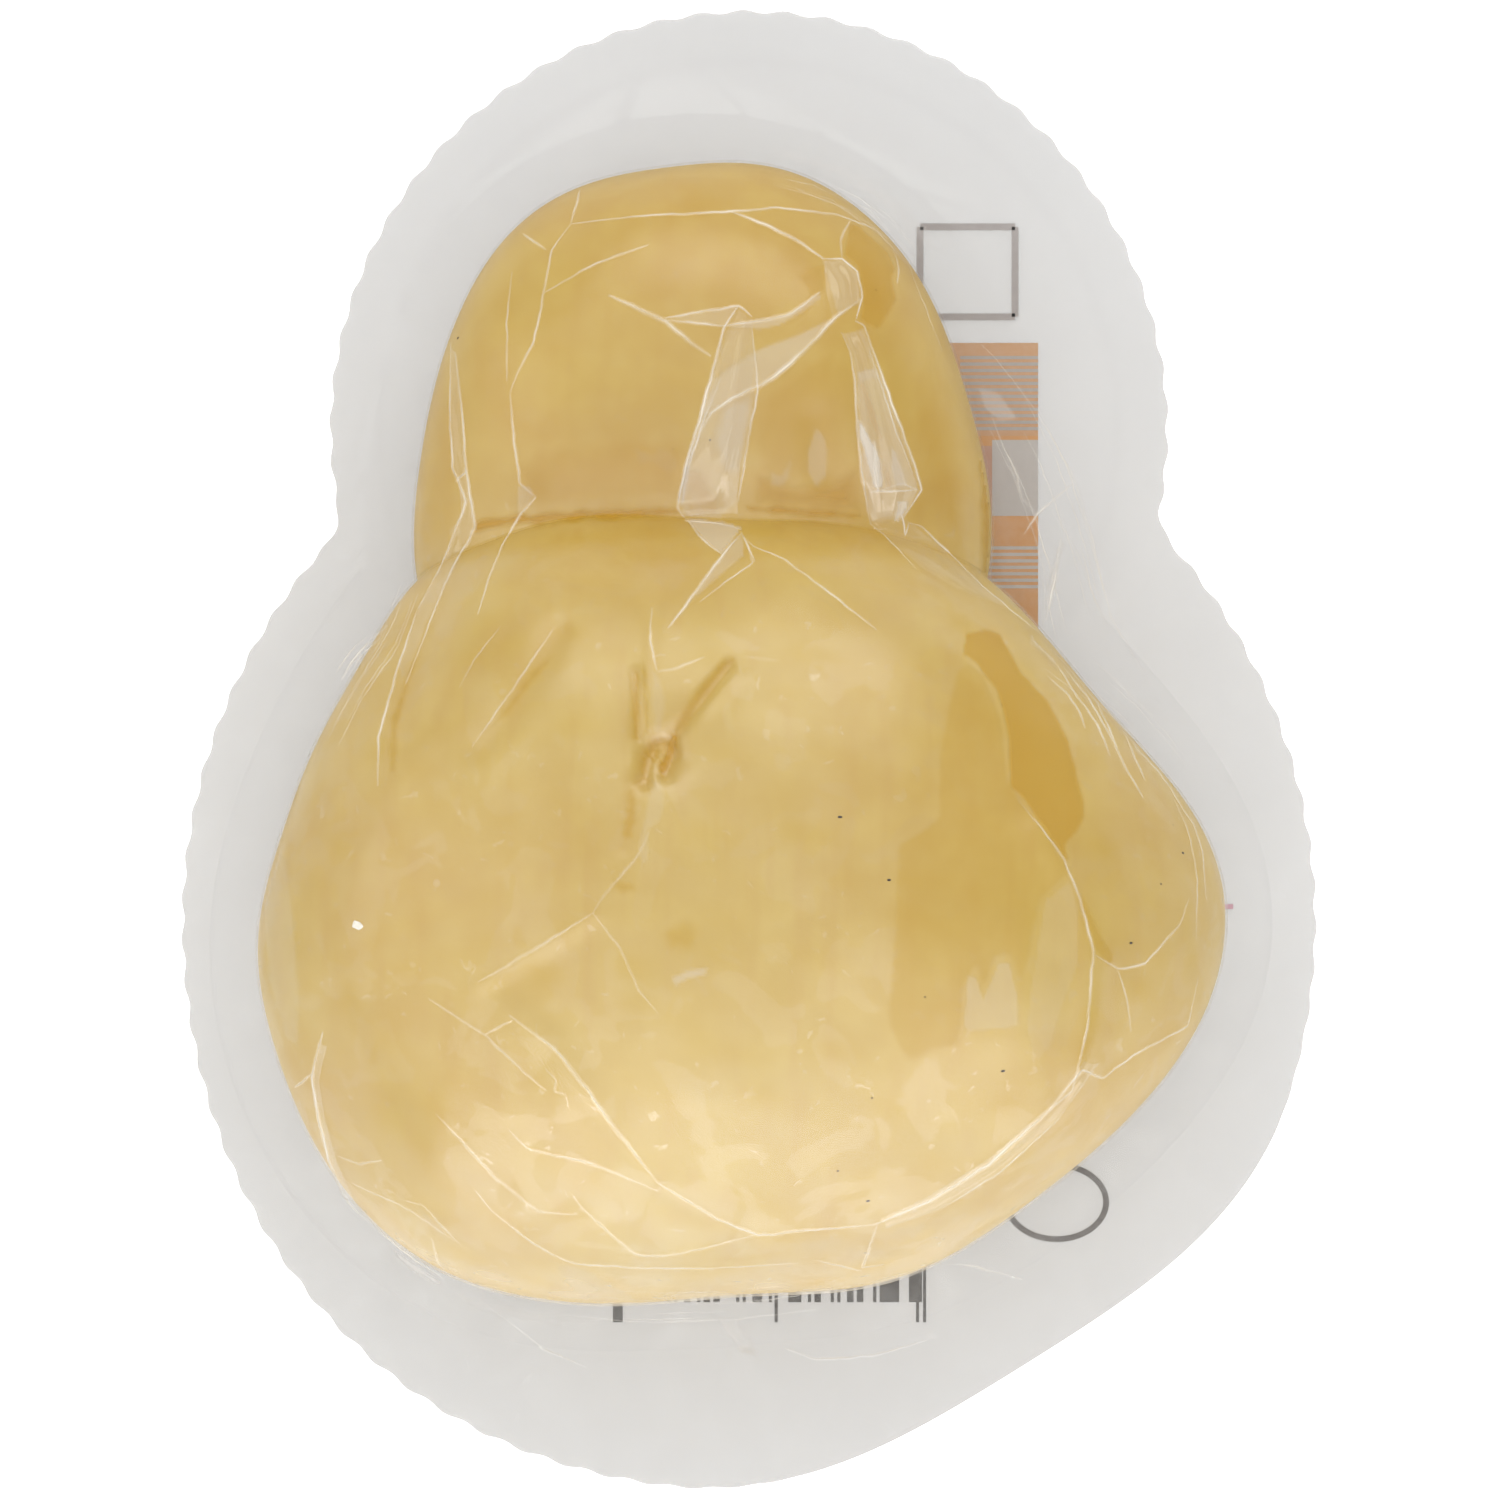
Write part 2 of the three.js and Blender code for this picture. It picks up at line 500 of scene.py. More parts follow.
@dataclass(frozen=True)
class SmokedRind:
    """Smoked scamorza rind: a thin amber skin, stretched smooth by hand and unevenly smoked."""

    amber: str = "#c2a347"
    smoky: str = "#bb943a"
    pale: str = "#cdb05c"
    # The hollow colour is painted shade: the rind takes it in its grooves, where shade falls.
    hollow: str = "#bc9435"
    smoke_size: float = 19.0
    cloud_size: float = 5.5
    streak_width: float = 1.7
    grain_size: float = 0.55
    head_smoke: float = 0.22
    roughness: float = 0.45

    def material(self) -> Material:
        """Makes the rind, cloudy with smoke over its whole width, darker in its grooves by painted shade,
        and finely grained close up.

        Returns:
            The material.
        """
        material, tree, place = new_material("smoked_scamorza_rind")
        smoke = add_node(tree, "TexNoise", {
            "Vector": place, "Scale": 1 / self.smoke_size, "Detail": 2.0, "Roughness": 0.5})
        head = head_share(tree, place)
        smokier = add_node(tree, "Math", {0: head, 1: self.head_smoke, 2: smoke}, operation="MULTIPLY_ADD")
        smoke_share = add_node(tree, "MapRange", {"Value": smokier, "From Min": 0.25, "From Max": 0.92})
        smoked = add_node(tree, "Mix", {
            0: smoke_share, 6: linear(self.amber), 7: linear(self.smoky)}, data_type="RGBA")
        cloud = add_node(tree, "TexNoise", {
            "Vector": place, "Scale": 1 / self.cloud_size, "Detail": 2.0, "Roughness": 0.6})
        cloud_share = add_node(tree, "MapRange", {
            "Value": cloud, "From Min": 0.4, "From Max": 0.7, "To Max": 0.36})
        clouded = add_node(tree, "Mix", {0: cloud_share, 6: smoked, 7: linear(self.pale)}, data_type="RGBA")
        drawn = add_node(tree, "Mapping", {
            "Vector": place, "Scale": (1 / self.streak_width, 0.1 / self.streak_width, 0.3)})
        streaks = add_node(tree, "TexNoise", {"Vector": drawn, "Scale": 1.0, "Detail": 2.0})
        streak_share = add_node(tree, "MapRange", {
            "Value": streaks, "From Min": 0.5, "From Max": 0.8, "To Max": 0.45})
        streaked = add_node(tree, "Mix", {
            0: streak_share, 6: clouded, 7: linear(self.smoky)}, data_type="RGBA")
        # Painted shade in the grooves: the hollow attribute mixes in the darker hollow colour.
        depth = add_node(tree, "Attribute", attribute_name="hollow")
        sunk = add_node(tree, "Mix", {
            0: depth.outputs["Fac"], 6: streaked, 7: linear(self.hollow)}, data_type="RGBA")
        grain = add_node(tree, "TexNoise", {"Vector": place, "Scale": 1 / self.grain_size, "Detail": 0.0})
        bump = add_node(tree, "Bump", {"Strength": 0.25, "Distance": 0.03 * MM, "Height": grain})
        rind = add_node(tree, "BsdfPrincipled", {
            "Base Color": sunk, "Roughness": self.roughness, "IOR": 1.45, "Normal": bump})
        add_node(tree, "OutputMaterial", {"Surface": rind})
        return material


@dataclass(frozen=True)
class LooseSpots:
    """Where loose film shines more: the spots' size in millimetres, their rarity, and how much they add."""

    size: float
    rarity: float
    gain: float


@dataclass(frozen=True)
class ClearFilm:
    """Clear multilayer packing film, shrunk tight: glossy, a little hazy where air stays under it.

    A film mirrors at both of its faces, so it shines about twice as much as one face of plastic.
    """

    mirror: float = 0.041
    edge_mirror: float = 0.17
    roughness: float = 0.3
    crisp_roughness: float = 0.12
    milk: str = "#f3efe6"
    islands: LooseSpots = LooseSpots(6.5, 0.53, 0.5)
    bubbles: LooseSpots = LooseSpots(1.3, 0.67, 1.2)
    spot_edge: float = 0.02
    grazing_power: float = 5.0
    crest_power: float = 1.6
    streak_length: float = 11.0
    streak_width: float = 0.9
    loose_air: float = 0.024
    wet_shine: float = 0.7

    def clear_coat(self, tree: NodeTree, normal: Feed, roughness: float, shine: Feed | float) -> Node:
        """Adds the clear, mirroring part of the film.

        Args:
            tree: The material's tree.
            normal: The surface's direction.
            roughness: How soft its reflections are.
            shine: How much more than usual it mirrors.

        Returns:
            The shader's last node.
        """
        facing = add_node(tree, "LayerWeight", {"Blend": 0.5, "Normal": normal})
        grazing = add_node(tree, "Math", {
            0: facing.outputs["Facing"], 1: self.grazing_power}, operation="POWER")
        mirror = add_node(tree, "MapRange", {
            "Value": grazing, "To Min": self.mirror, "To Max": self.edge_mirror})
        bright = add_node(tree, "Math", {0: mirror, 1: shine}, operation="MULTIPLY")
        clear = add_node(tree, "BsdfTransparent", {"Color": (1, 1, 1, 1)})
        gloss = add_node(tree, "BsdfAnisotropic", {
            "Color": (1, 1, 1, 1), "Roughness": roughness, "Normal": normal})
        return add_node(tree, "MixShader", {0: bright, 1: clear, 2: gloss})

    def finish_with(self, tree: NodeTree, normal: Feed, haze: Feed, roughness: float,
                    shine: Feed | float = 1.0) -> None:
        """Ends a film material: a clear coat, milky where it is hazy.

        Args:
            tree: The material's tree.
            normal: The surface's direction.
            haze: The share of the film that is milky.
            roughness: How soft its reflections are.
            shine: How much more than usual it mirrors.
        """
        milk = add_node(tree, "BsdfDiffuse", {"Color": linear(self.milk)})
        coat = self.clear_coat(tree, normal, roughness, shine)
        film = add_node(tree, "MixShader", {0: haze, 1: coat, 2: milk})
        add_node(tree, "OutputMaterial", {"Surface": film})

    def material(self) -> Material:
        """Makes the film, hazy by its air attribute, which also holds a painted sheen low down the front.
        It shines more where it has come off the wet rind.

        Returns:
            The material.
        """
        material, tree, place = new_material("clear_packing_film")
        air = add_node(tree, "Attribute", attribute_name="air")
        loose = add_node(tree, "MapRange", {"Value": air.outputs["Fac"], "From Max": self.loose_air})
        shine = add_node(tree, "MapRange", {
            "Value": air.outputs["Fac"], "From Max": self.loose_air, "To Min": self.wet_shine})
        for spots in (self.islands, self.bubbles):
            noise = add_node(tree, "TexNoise", {
                "Vector": place, "Scale": 1 / spots.size, "Detail": 2.0, "Roughness": 0.6,
                "Distortion": 0.6})
            bright = add_node(tree, "MapRange", {
                "Value": noise, "From Min": spots.rarity, "From Max": spots.rarity + self.spot_edge,
                "To Max": spots.gain})
            shine = add_node(tree, "Math", {0: loose, 1: bright, 2: shine}, operation="MULTIPLY_ADD")
        surface = add_node(tree, "NewGeometry")
        self.finish_with(tree, surface.outputs["Normal"], air.outputs["Fac"], self.roughness, shine)
        return material

    def crease_material(self) -> Material:
        """Makes the film of a crease: white along its crest, where it is stressed, and clear beside it.

        Returns:
            The material.
        """
        material, tree, _ = new_material("stress_whitened_film_crease")
        crest = add_node(tree, "Attribute", attribute_name="crest")
        white = add_node(tree, "Attribute", attribute_name="white")
        sharp = add_node(tree, "Math", {0: crest.outputs["Fac"], 1: self.crest_power}, operation="POWER")
        haze = add_node(tree, "Math", {0: sharp, 1: white.outputs["Fac"]}, operation="MULTIPLY")
        surface = add_node(tree, "NewGeometry")
        self.finish_with(tree, surface.outputs["Normal"], haze, self.crisp_roughness)
        return material

    def fold_material(self) -> Material:
        """Makes the film of a fold: two or three layers, milky and streaked along its length.

        Returns:
            The material.
        """
        material, tree, _ = new_material("folded_film_layers")
        sheet = add_node(tree, "UVMap", uv_map="fold")
        white = add_node(tree, "Attribute", attribute_name="white")
        stretched = add_node(tree, "Mapping", {
            "Vector": sheet, "Scale": (1 / self.streak_length, 1 / self.streak_width, 1.0)})
        streaks = add_node(tree, "TexNoise", {
            "Vector": stretched, "Scale": 1.0, "Detail": 2.0, "Distortion": 0.3})
        streak = add_node(tree, "MapRange", {
            "Value": streaks, "From Min": 0.3, "From Max": 0.75, "To Min": 0.2, "To Max": 1.2})
        haze = add_node(tree, "Math", {0: streak, 1: white.outputs["Fac"]}, operation="MULTIPLY")
        bump = add_node(tree, "Bump", {"Strength": 0.6, "Distance": 0.2 * MM, "Height": streaks})
        self.finish_with(tree, bump, haze, self.crisp_roughness)
        return material


@dataclass(frozen=True)
class PatchFinish:
    """A thin layer between the film and the rind. Its alpha is its attribute, so its edge fades out."""

    name: str
    colour: str

    def material(self) -> Material:
        """Makes the layer, matt, because the film over it gives the gloss.

        Returns:
            The material.
        """
        material, tree, _ = new_material(self.name)
        share = add_node(tree, "Attribute", attribute_name="share")
        layer = add_node(tree, "BsdfPrincipled", {
            "Base Color": linear(self.colour), "Roughness": 0.6, "Specular IOR Level": 0.0,
            "Alpha": share.outputs["Fac"]})
        add_node(tree, "OutputMaterial", {"Surface": layer})
        return material


# Air that stays under the film scatters light, so the rind looks milky there; the same white layer also
# paints the film's highlights, sheens and the reflections of its facets.
# Whey wets the film to the rind, so the rind looks darker and deeper amber there; the same amber layer also
# paints shade in the neck's crease, under the head, below the pleats, at the left cheek and along the
# head's lower right edge.
TRAPPED_AIR_AND_SHEEN = PatchFinish("air_trapped_under_film_and_painted_sheen", "#dfdbd5")
WHEY_AND_SHADE = PatchFinish("whey_wetted_rind_and_painted_shade", "#ba8d2a")


@dataclass(frozen=True)
class PrintInk:
    """Screen-printed ink on the sheet: matt, a little uneven, in the colour that its attribute gives."""

    bare: str = "#e8e6e2"
    unevenness: float = 0.12
    dot_size: float = 0.5

    def material(self) -> Material:
        """Makes the ink, mottled at the size of its dots.

        Returns:
            The material.
        """
        material, tree, place = new_material("screen_printed_ink")
        ink = add_node(tree, "Attribute", attribute_name="ink")
        dots = add_node(tree, "TexNoise", {"Vector": place, "Scale": 1 / self.dot_size, "Detail": 1.0})
        share = add_node(tree, "Math", {0: dots, 1: self.unevenness}, operation="MULTIPLY")
        tone = add_node(tree, "Mix", {
            0: share, 6: ink.outputs["Color"], 7: linear(self.bare)}, data_type="RGBA")
        matt = add_node(tree, "BsdfPrincipled", {"Base Color": tone, "Roughness": 0.5})
        add_node(tree, "OutputMaterial", {"Surface": matt})
        return material


@dataclass(frozen=True)
class MilkySheet:
    """Milky polyethylene laminate, cast smooth: it lets some light through and is softly uneven in tone."""

    white: str = "#cacaca"
    pressed: str = "#8f8d8b"
    solid: float = 0.5
    roughness: float = 0.34
    mottle_size: float = 14.0
    seal_radius: float = 35.4
    seal_half_width: float = 1.0
    seal_depth: float = 0.05

    def seal_band(self, tree: NodeTree, place: Feed, middle: tuple[float, float]) -> Node:
        """Adds the mask of the faint band that the sealing bar pressed round the head lobe.

        Args:
            tree: The material's tree.
            place: The place in millimetres.
            middle: The lobe's centre in millimetres.

        Returns:
            The node that gives 1 along the band.
        """
        local = add_node(tree, "VectorMath", {0: place, 1: (*middle, 0)}, operation="SUBTRACT")
        flat = add_node(tree, "VectorMath", {0: local, 1: (1, 1, 0)}, operation="MULTIPLY")
        reach = add_node(tree, "VectorMath", {0: flat}, operation="LENGTH")
        away = add_node(tree, "Math", {0: reach, 1: self.seal_radius}, operation="SUBTRACT")
        size = add_node(tree, "Math", {0: away}, operation="ABSOLUTE")
        return add_node(tree, "MapRange", {
            "Value": size, "From Min": self.seal_half_width,
            "From Max": 0.0}, interpolation_type="SMOOTHSTEP")

    def material(self, head_middle: tuple[float, float]) -> Material:
        """Makes the sheet.

        Args:
            head_middle: The centre of the sheet's head lobe in millimetres.

        Returns:
            The material.
        """
        material, tree, place = new_material("milky_backing_laminate")
        mottle = add_node(tree, "TexNoise", {"Vector": place, "Scale": 1 / self.mottle_size, "Detail": 1.0})
        uneven = add_node(tree, "MapRange", {
            "Value": mottle, "From Min": 0.3, "From Max": 0.7, "To Min": 0.0, "To Max": 0.06})
        band = self.seal_band(tree, place, head_middle)
        share = add_node(tree, "Math", {0: band, 1: self.seal_depth, 2: uneven}, operation="MULTIPLY_ADD")
        toned = add_node(tree, "Mix", {
            0: share, 6: linear(self.white), 7: linear(self.pressed)}, data_type="RGBA")
        sheet = add_node(tree, "BsdfPrincipled", {
            "Base Color": toned, "Roughness": self.roughness, "IOR": 1.5, "Alpha": self.solid})
        add_node(tree, "OutputMaterial", {"Surface": sheet})
        return material


@dataclass(frozen=True)
class Fleck:
    """A fleck on the rind: burnt smoke dust or a crumb of white curd, matt and unevenly coloured."""

    name: str
    light: str
    dark: str
    grain_size: float

    def material(self) -> Material:
        """Makes the fleck, mottled at the size of its grains.

        Returns:
            The material.
        """
        material, tree, place = new_material(self.name)
        grains = add_node(tree, "TexNoise", {"Vector": place, "Scale": 1 / self.grain_size, "Detail": 2.0})
        tone = add_node(tree, "Mix", {
            0: grains, 6: linear(self.dark), 7: linear(self.light)}, data_type="RGBA")
        matt = add_node(tree, "BsdfPrincipled", {
            "Base Color": tone, "Roughness": 0.7, "Specular IOR Level": 0.1})
        add_node(tree, "OutputMaterial", {"Surface": matt})
        return material


SMOKE_DUST = Fleck("burnt_smoke_dust", "#3d2600", "#120a00", 0.1)
WHITE_CURD = Fleck("white_curd_crumb", "#fbf8f0", "#e6dcc4", 0.3)


# The cheese's form


@dataclass(frozen=True)
class Lump:
    """So many bulges round an outline, each so high, the first one at an angle in degrees."""

    bulges: int
    height: float
    angle: float


@dataclass(frozen=True)
class Web:
    """A place where the film's foot runs further out over the sheet, at an angle in degrees."""

    spread: float
    angle: float
    half_angle: float


@dataclass(frozen=True)
class Dimple:
    """A round hollow in a lobe's crown."""

    middle: tuple[float, float]
    depth: float
    radius: float

    def sunk(self, x: np.ndarray, y: np.ndarray) -> np.ndarray:
        """Gives how deep the crown sinks at a place."""
        return self.depth * bell(np.hypot(x - self.middle[0], y - self.middle[1]), self.radius)


@dataclass(frozen=True)
class Neck:
    """A trough across a lobe's crown, where the cord was tied."""

    y: float
    depth: float
    half_width: float

    def sunk(self, x: np.ndarray, y: np.ndarray) -> np.ndarray:
        """Gives how deep the crown sinks at a place."""
        return self.depth * bell(y - self.y, self.half_width)


@dataclass(frozen=True)
class Groove:
    """A soft groove along a route in the cheese and its film, or a ridge where its depth is negative."""

    name: str
    depth: float
    half_width: float
    route: Route

    def sunk(self, pixels: np.ndarray) -> np.ndarray:
        """Gives how deep the surface sinks where pixels show it."""
        return self.depth * bell(route_distance(pixels, self.route) * VIEW.pixel, self.half_width)


GROOVES = tuple(starmap(Groove, (
    ("pucker pit", 0.7, 0.8, (643, 780, 647, 757, 657, 742, 668, 741, 673, 752, 664, 772)),
    ("pucker, left pull", 0.4, 0.55, (635, 672, 638, 737)),
    ("pucker, left rim", -0.25, 0.8, (652, 607, 652, 735)),
    ("pucker, right pull", 0.45, 0.6, (729, 662, 674, 732)),
    ("pucker, right rim", -0.2, 1.2, (742, 682, 690, 745)),
    ("left cheek, upper", 0.25, 1.5, (560, 632, 512, 708, 478, 748)),
    ("left cheek, lower", 0.15, 1.2, (501, 626, 463, 672)),
    ("left shoulder", 0.25, 1.5, (455, 580, 418, 650, 396, 730)),
    ("below the pucker", 0.3, 1.1, (633, 786, 630, 821, 622, 846)),
    ("middle fold", -0.3, 1.3, (593, 913, 543, 944, 478, 982)),
    ("lower arc", -0.35, 1.6, (1049, 1110, 988, 1164, 927, 1202, 873, 1225, 758, 1235)),
    ("lower left arc", -0.3, 1.5, (716, 1218, 658, 1183, 616, 1130, 555, 1049, 509, 1015)),
    ("right arc", -0.3, 1.5, (1040, 830, 1080, 900, 1094, 960, 1087, 1030, 1072, 1091)),
    ("right drop", 0.3, 1.8, (815, 420, 822, 470)),
)))


@dataclass(frozen=True)
class Unevenness:
    """The slight lumps of a cheese shaped by hand: a sum of long waves in every direction."""

    height: float = 0.28
    wavelength: float = 21.0
    waves: int = 10
    seed: int = 11
    lengths: tuple[float, float] = (0.7, 1.6)

    def at(self, points: np.ndarray) -> np.ndarray:
        """Gives how far the surface stands out.

        Args:
            points: Rows of millimetres.

        Returns:
            One height for each point.
        """
        draw = np.random.default_rng(self.seed)
        ways = draw.normal(size=(self.waves, 3))
        ways /= np.linalg.norm(ways, axis=1)[:, None]
        lengths = self.wavelength * draw.uniform(*self.lengths, self.waves)
        starts = draw.uniform(0, 2 * math.pi, self.waves)
        swells = np.sin(points @ ways.T * (2 * math.pi / lengths) + starts)
        return self.height * swells.sum(axis=1) / math.sqrt(self.waves)


HAND_SHAPED = Unevenness()


@dataclass(frozen=True)
class Lobe:
    """One lobe of the cheese: a dome over its widest outline, and the film's skirt below it."""

    centre: tuple[float, float]
    radius: float
    lumps: tuple[Lump, ...]
    widest_at: float
    height: float
    rise: float
    fullness: float
    web: Web
    hollow: Dimple | Neck
    segments: int
    dome_rings: int
    skirt_rings: int

    @property
    def angles(self) -> np.ndarray:
        """Gives the angles of the points of a ring."""
        return np.linspace(0, 2 * math.pi, self.segments, endpoint=False)

    def outline(self) -> np.ndarray:
        """Gives the widest outline as distances from the centre."""
        turns = [lump.bulges * (self.angles - math.radians(lump.angle)) for lump in self.lumps]
        return self.radius + sum(lump.height * np.cos(turn) for lump, turn in zip(self.lumps, turns))

    def crown(self, x: np.ndarray, y: np.ndarray) -> np.ndarray:
        """Gives the crown's height above places on the sheet, before its edges round off."""
        return self.height + self.rise * (y - self.centre[1]) - self.hollow.sunk(x, y)

    def around(self, reach: np.ndarray) -> tuple[np.ndarray, np.ndarray]:
        """Gives the x and y of rings that reach so far from the centre."""
        return self.centre[0] + reach * np.cos(self.angles), self.centre[1] + reach * np.sin(self.angles)

    def dome(self, inset: float) -> np.ndarray:
        """Makes the rings from near the crown down to the widest line.

        Args:
            inset: How far inside the film's outer face they lie.

        Returns:
            Points by ring and by angle.
        """
        climb = (np.arange(1, self.dome_rings + 1) / self.dome_rings * math.pi / 2)[:, None]
        x, y = self.around((self.outline() - inset) * np.sin(climb) ** (2 / self.fullness))
        share = np.maximum(np.cos(climb), 0) ** (2 / self.fullness)
        return np.stack([x, y, self.widest_at + (self.crown(x, y) - inset - self.widest_at) * share], -1)

    def top(self, inset: float) -> np.ndarray:
        """Gives the crown's middle point."""
        x, y = self.centre
        return np.array([x, y, float(self.crown(x, y)) - inset])

    def shaped(self, points: np.ndarray) -> np.ndarray:
        """Presses the grooves and lumps of the cheese into points of its surface.

        Args:
            points: Rows of millimetres.

        Returns:
            The moved points.
        """
        core = np.array([*self.centre, self.widest_at / 2])
        outward = points - core
        outward /= np.linalg.norm(outward, axis=1)[:, None]
        pixels = VIEW.pixels_of(points)
        upper = ramp(points[:, 2], self.widest_at, self.widest_at + GROOVE_FADE)
        sunk = sum(groove.sunk(pixels) for groove in GROOVES) * upper
        fade = ramp(points[:, 2], *LUMP_BAND)
        return points + outward * (HAND_SHAPED.at(points) * fade - sunk)[:, None]


def closed_rings(name: str, top: np.ndarray, rings: np.ndarray, foot: np.ndarray) -> Object:
    """Makes a closed mesh from a top point, rings of points going down, and a foot point.

    Args:
        name: The object's name.
        top: The top point.
        rings: Points by ring and by angle, counter-clockwise.
        foot: The foot point.

    Returns:
        The object.
    """
    count, around, _ = rings.shape
    points = np.vstack([top, rings.reshape(-1, 3), foot])
    here = 1 + np.arange(count * around).reshape(count, around)
    beside = np.roll(here, -1, axis=1)
    quads = np.stack([here[:-1], here[1:], beside[1:], beside[:-1]], -1).reshape(-1, 4).tolist()
    last = len(points) - 1
    upper = [(0, a, b) for a, b in zip(here[0].tolist(), beside[0].tolist())]
    lower = [(last, b, a) for a, b in zip(here[-1].tolist(), beside[-1].tolist())]
    return mesh_object(name, points, upper + quads + lower)


DIMPLE = Dimple(middle=(-8.0, 0.3), depth=1.5, radius=3.4)
NECK = Neck(y=21.0, depth=1.0, half_width=4.0)

BODY = Lobe(
    centre=(-1.8, -14.6), radius=41.2,
    lumps=(Lump(1, 0.75, -166), Lump(2, 3.1, 3), Lump(3, 1.8, -14), Lump(5, 0.55, -5), Lump(6, 0.6, 0)),
    widest_at=20.0, height=52.0, rise=0.0, fullness=2.3, web=Web(0.0, 0.0, 1.0), hollow=DIMPLE,
    segments=440, dome_rings=120, skirt_rings=28)
HEAD = Lobe(
    centre=(-4.3, 25.2), radius=28.7,
    lumps=(Lump(2, 1.3, 100), Lump(3, 1.0, -35), Lump(4, 0.65, 43)),
    widest_at=16.0, height=34.4, rise=0.1, fullness=2.4, web=Web(6.0, -25.0, 35.0), hollow=NECK,
    segments=300, dome_rings=80, skirt_rings=24)


@dataclass(frozen=True)
class Scamorza:
    """The cheese: a head and a body that meet in the neck's crease, flattened where they rest."""

    body: Lobe = BODY
    head: Lobe = HEAD
    film_gap: float = 0.25
    base_share: float = 0.66
    belly_rings: int = 30
    belly_power: float = 0.9
    base_height: float = 0.42
    crease_angle: float = 38.0
    finish: SmokedRind = SmokedRind()

    def belly(self, lobe: Lobe) -> np.ndarray:
        """Makes the rings that curl in under a lobe, from its widest line to its base.

        Args:
            lobe: The lobe.

        Returns:
            Points by ring and by angle.
        """
        turn = (np.arange(1, self.belly_rings + 1) / self.belly_rings * math.pi / 2)[:, None]
        share = self.base_share + (1 - self.base_share) * np.maximum(np.cos(turn), 0) ** self.belly_power
        x, y = lobe.around((lobe.outline() - self.film_gap) * share)
        z = lobe.widest_at - (lobe.widest_at - self.base_height) * np.sin(turn) ** self.belly_power
        return np.stack([x, y, z + np.zeros_like(x)], -1)

    def solid(self, lobe: Lobe) -> Object:
        """Makes one lobe of the cheese.

        Args:
            lobe: The lobe.

        Returns:
            The closed solid.
        """
        rings = np.concatenate([lobe.dome(self.film_gap), self.belly(lobe)])
        foot = np.array([*lobe.centre, self.base_height])
        moved = lobe.shaped(np.vstack([lobe.top(self.film_gap), rings.reshape(-1, 3)]))
        return closed_rings("lobe", moved[0], moved[1:].reshape(rings.shape), foot)

    def build(self) -> Object:
        """Joins the two lobes and dresses them in the smoked rind.

        Returns:
            The cheese.
        """
        cheese = union("smoked_scamorza", [self.solid(self.body), self.solid(self.head)])
        mesh = cheese.data
        mesh.shade_smooth()
        mesh.set_sharp_from_angle(angle=math.radians(self.crease_angle))
        # The hollow attribute is each groove's depth, which sets how much painted shade the rind takes
        # there.
        pixels = VIEW.pixels_of(mesh_points(mesh))
        depth = sum(np.maximum(groove.sunk(pixels), 0) for groove in GROOVES)
        add_values(mesh, hollow=np.clip(depth, 0, 1))
        mesh.materials.clear()
        mesh.materials.append(self.finish.material())
        return cheese


# The backing sheet


@dataclass(frozen=True)
class Corner:
    """A stretch of the sheet's edge round the body lobe, by its middle angle and half angle in degrees."""

    inset: float
    angle: float
    half_angle: float

    def share(self, angle: np.ndarray) -> np.ndarray:
        """Gives how much of the corner is felt at an angle: 1 at its middle, 0 past its half angle."""
        away = np.minimum(np.abs(angle - self.angle) / self.half_angle, 1)
        return np.cos(away * math.pi / 2) ** 2


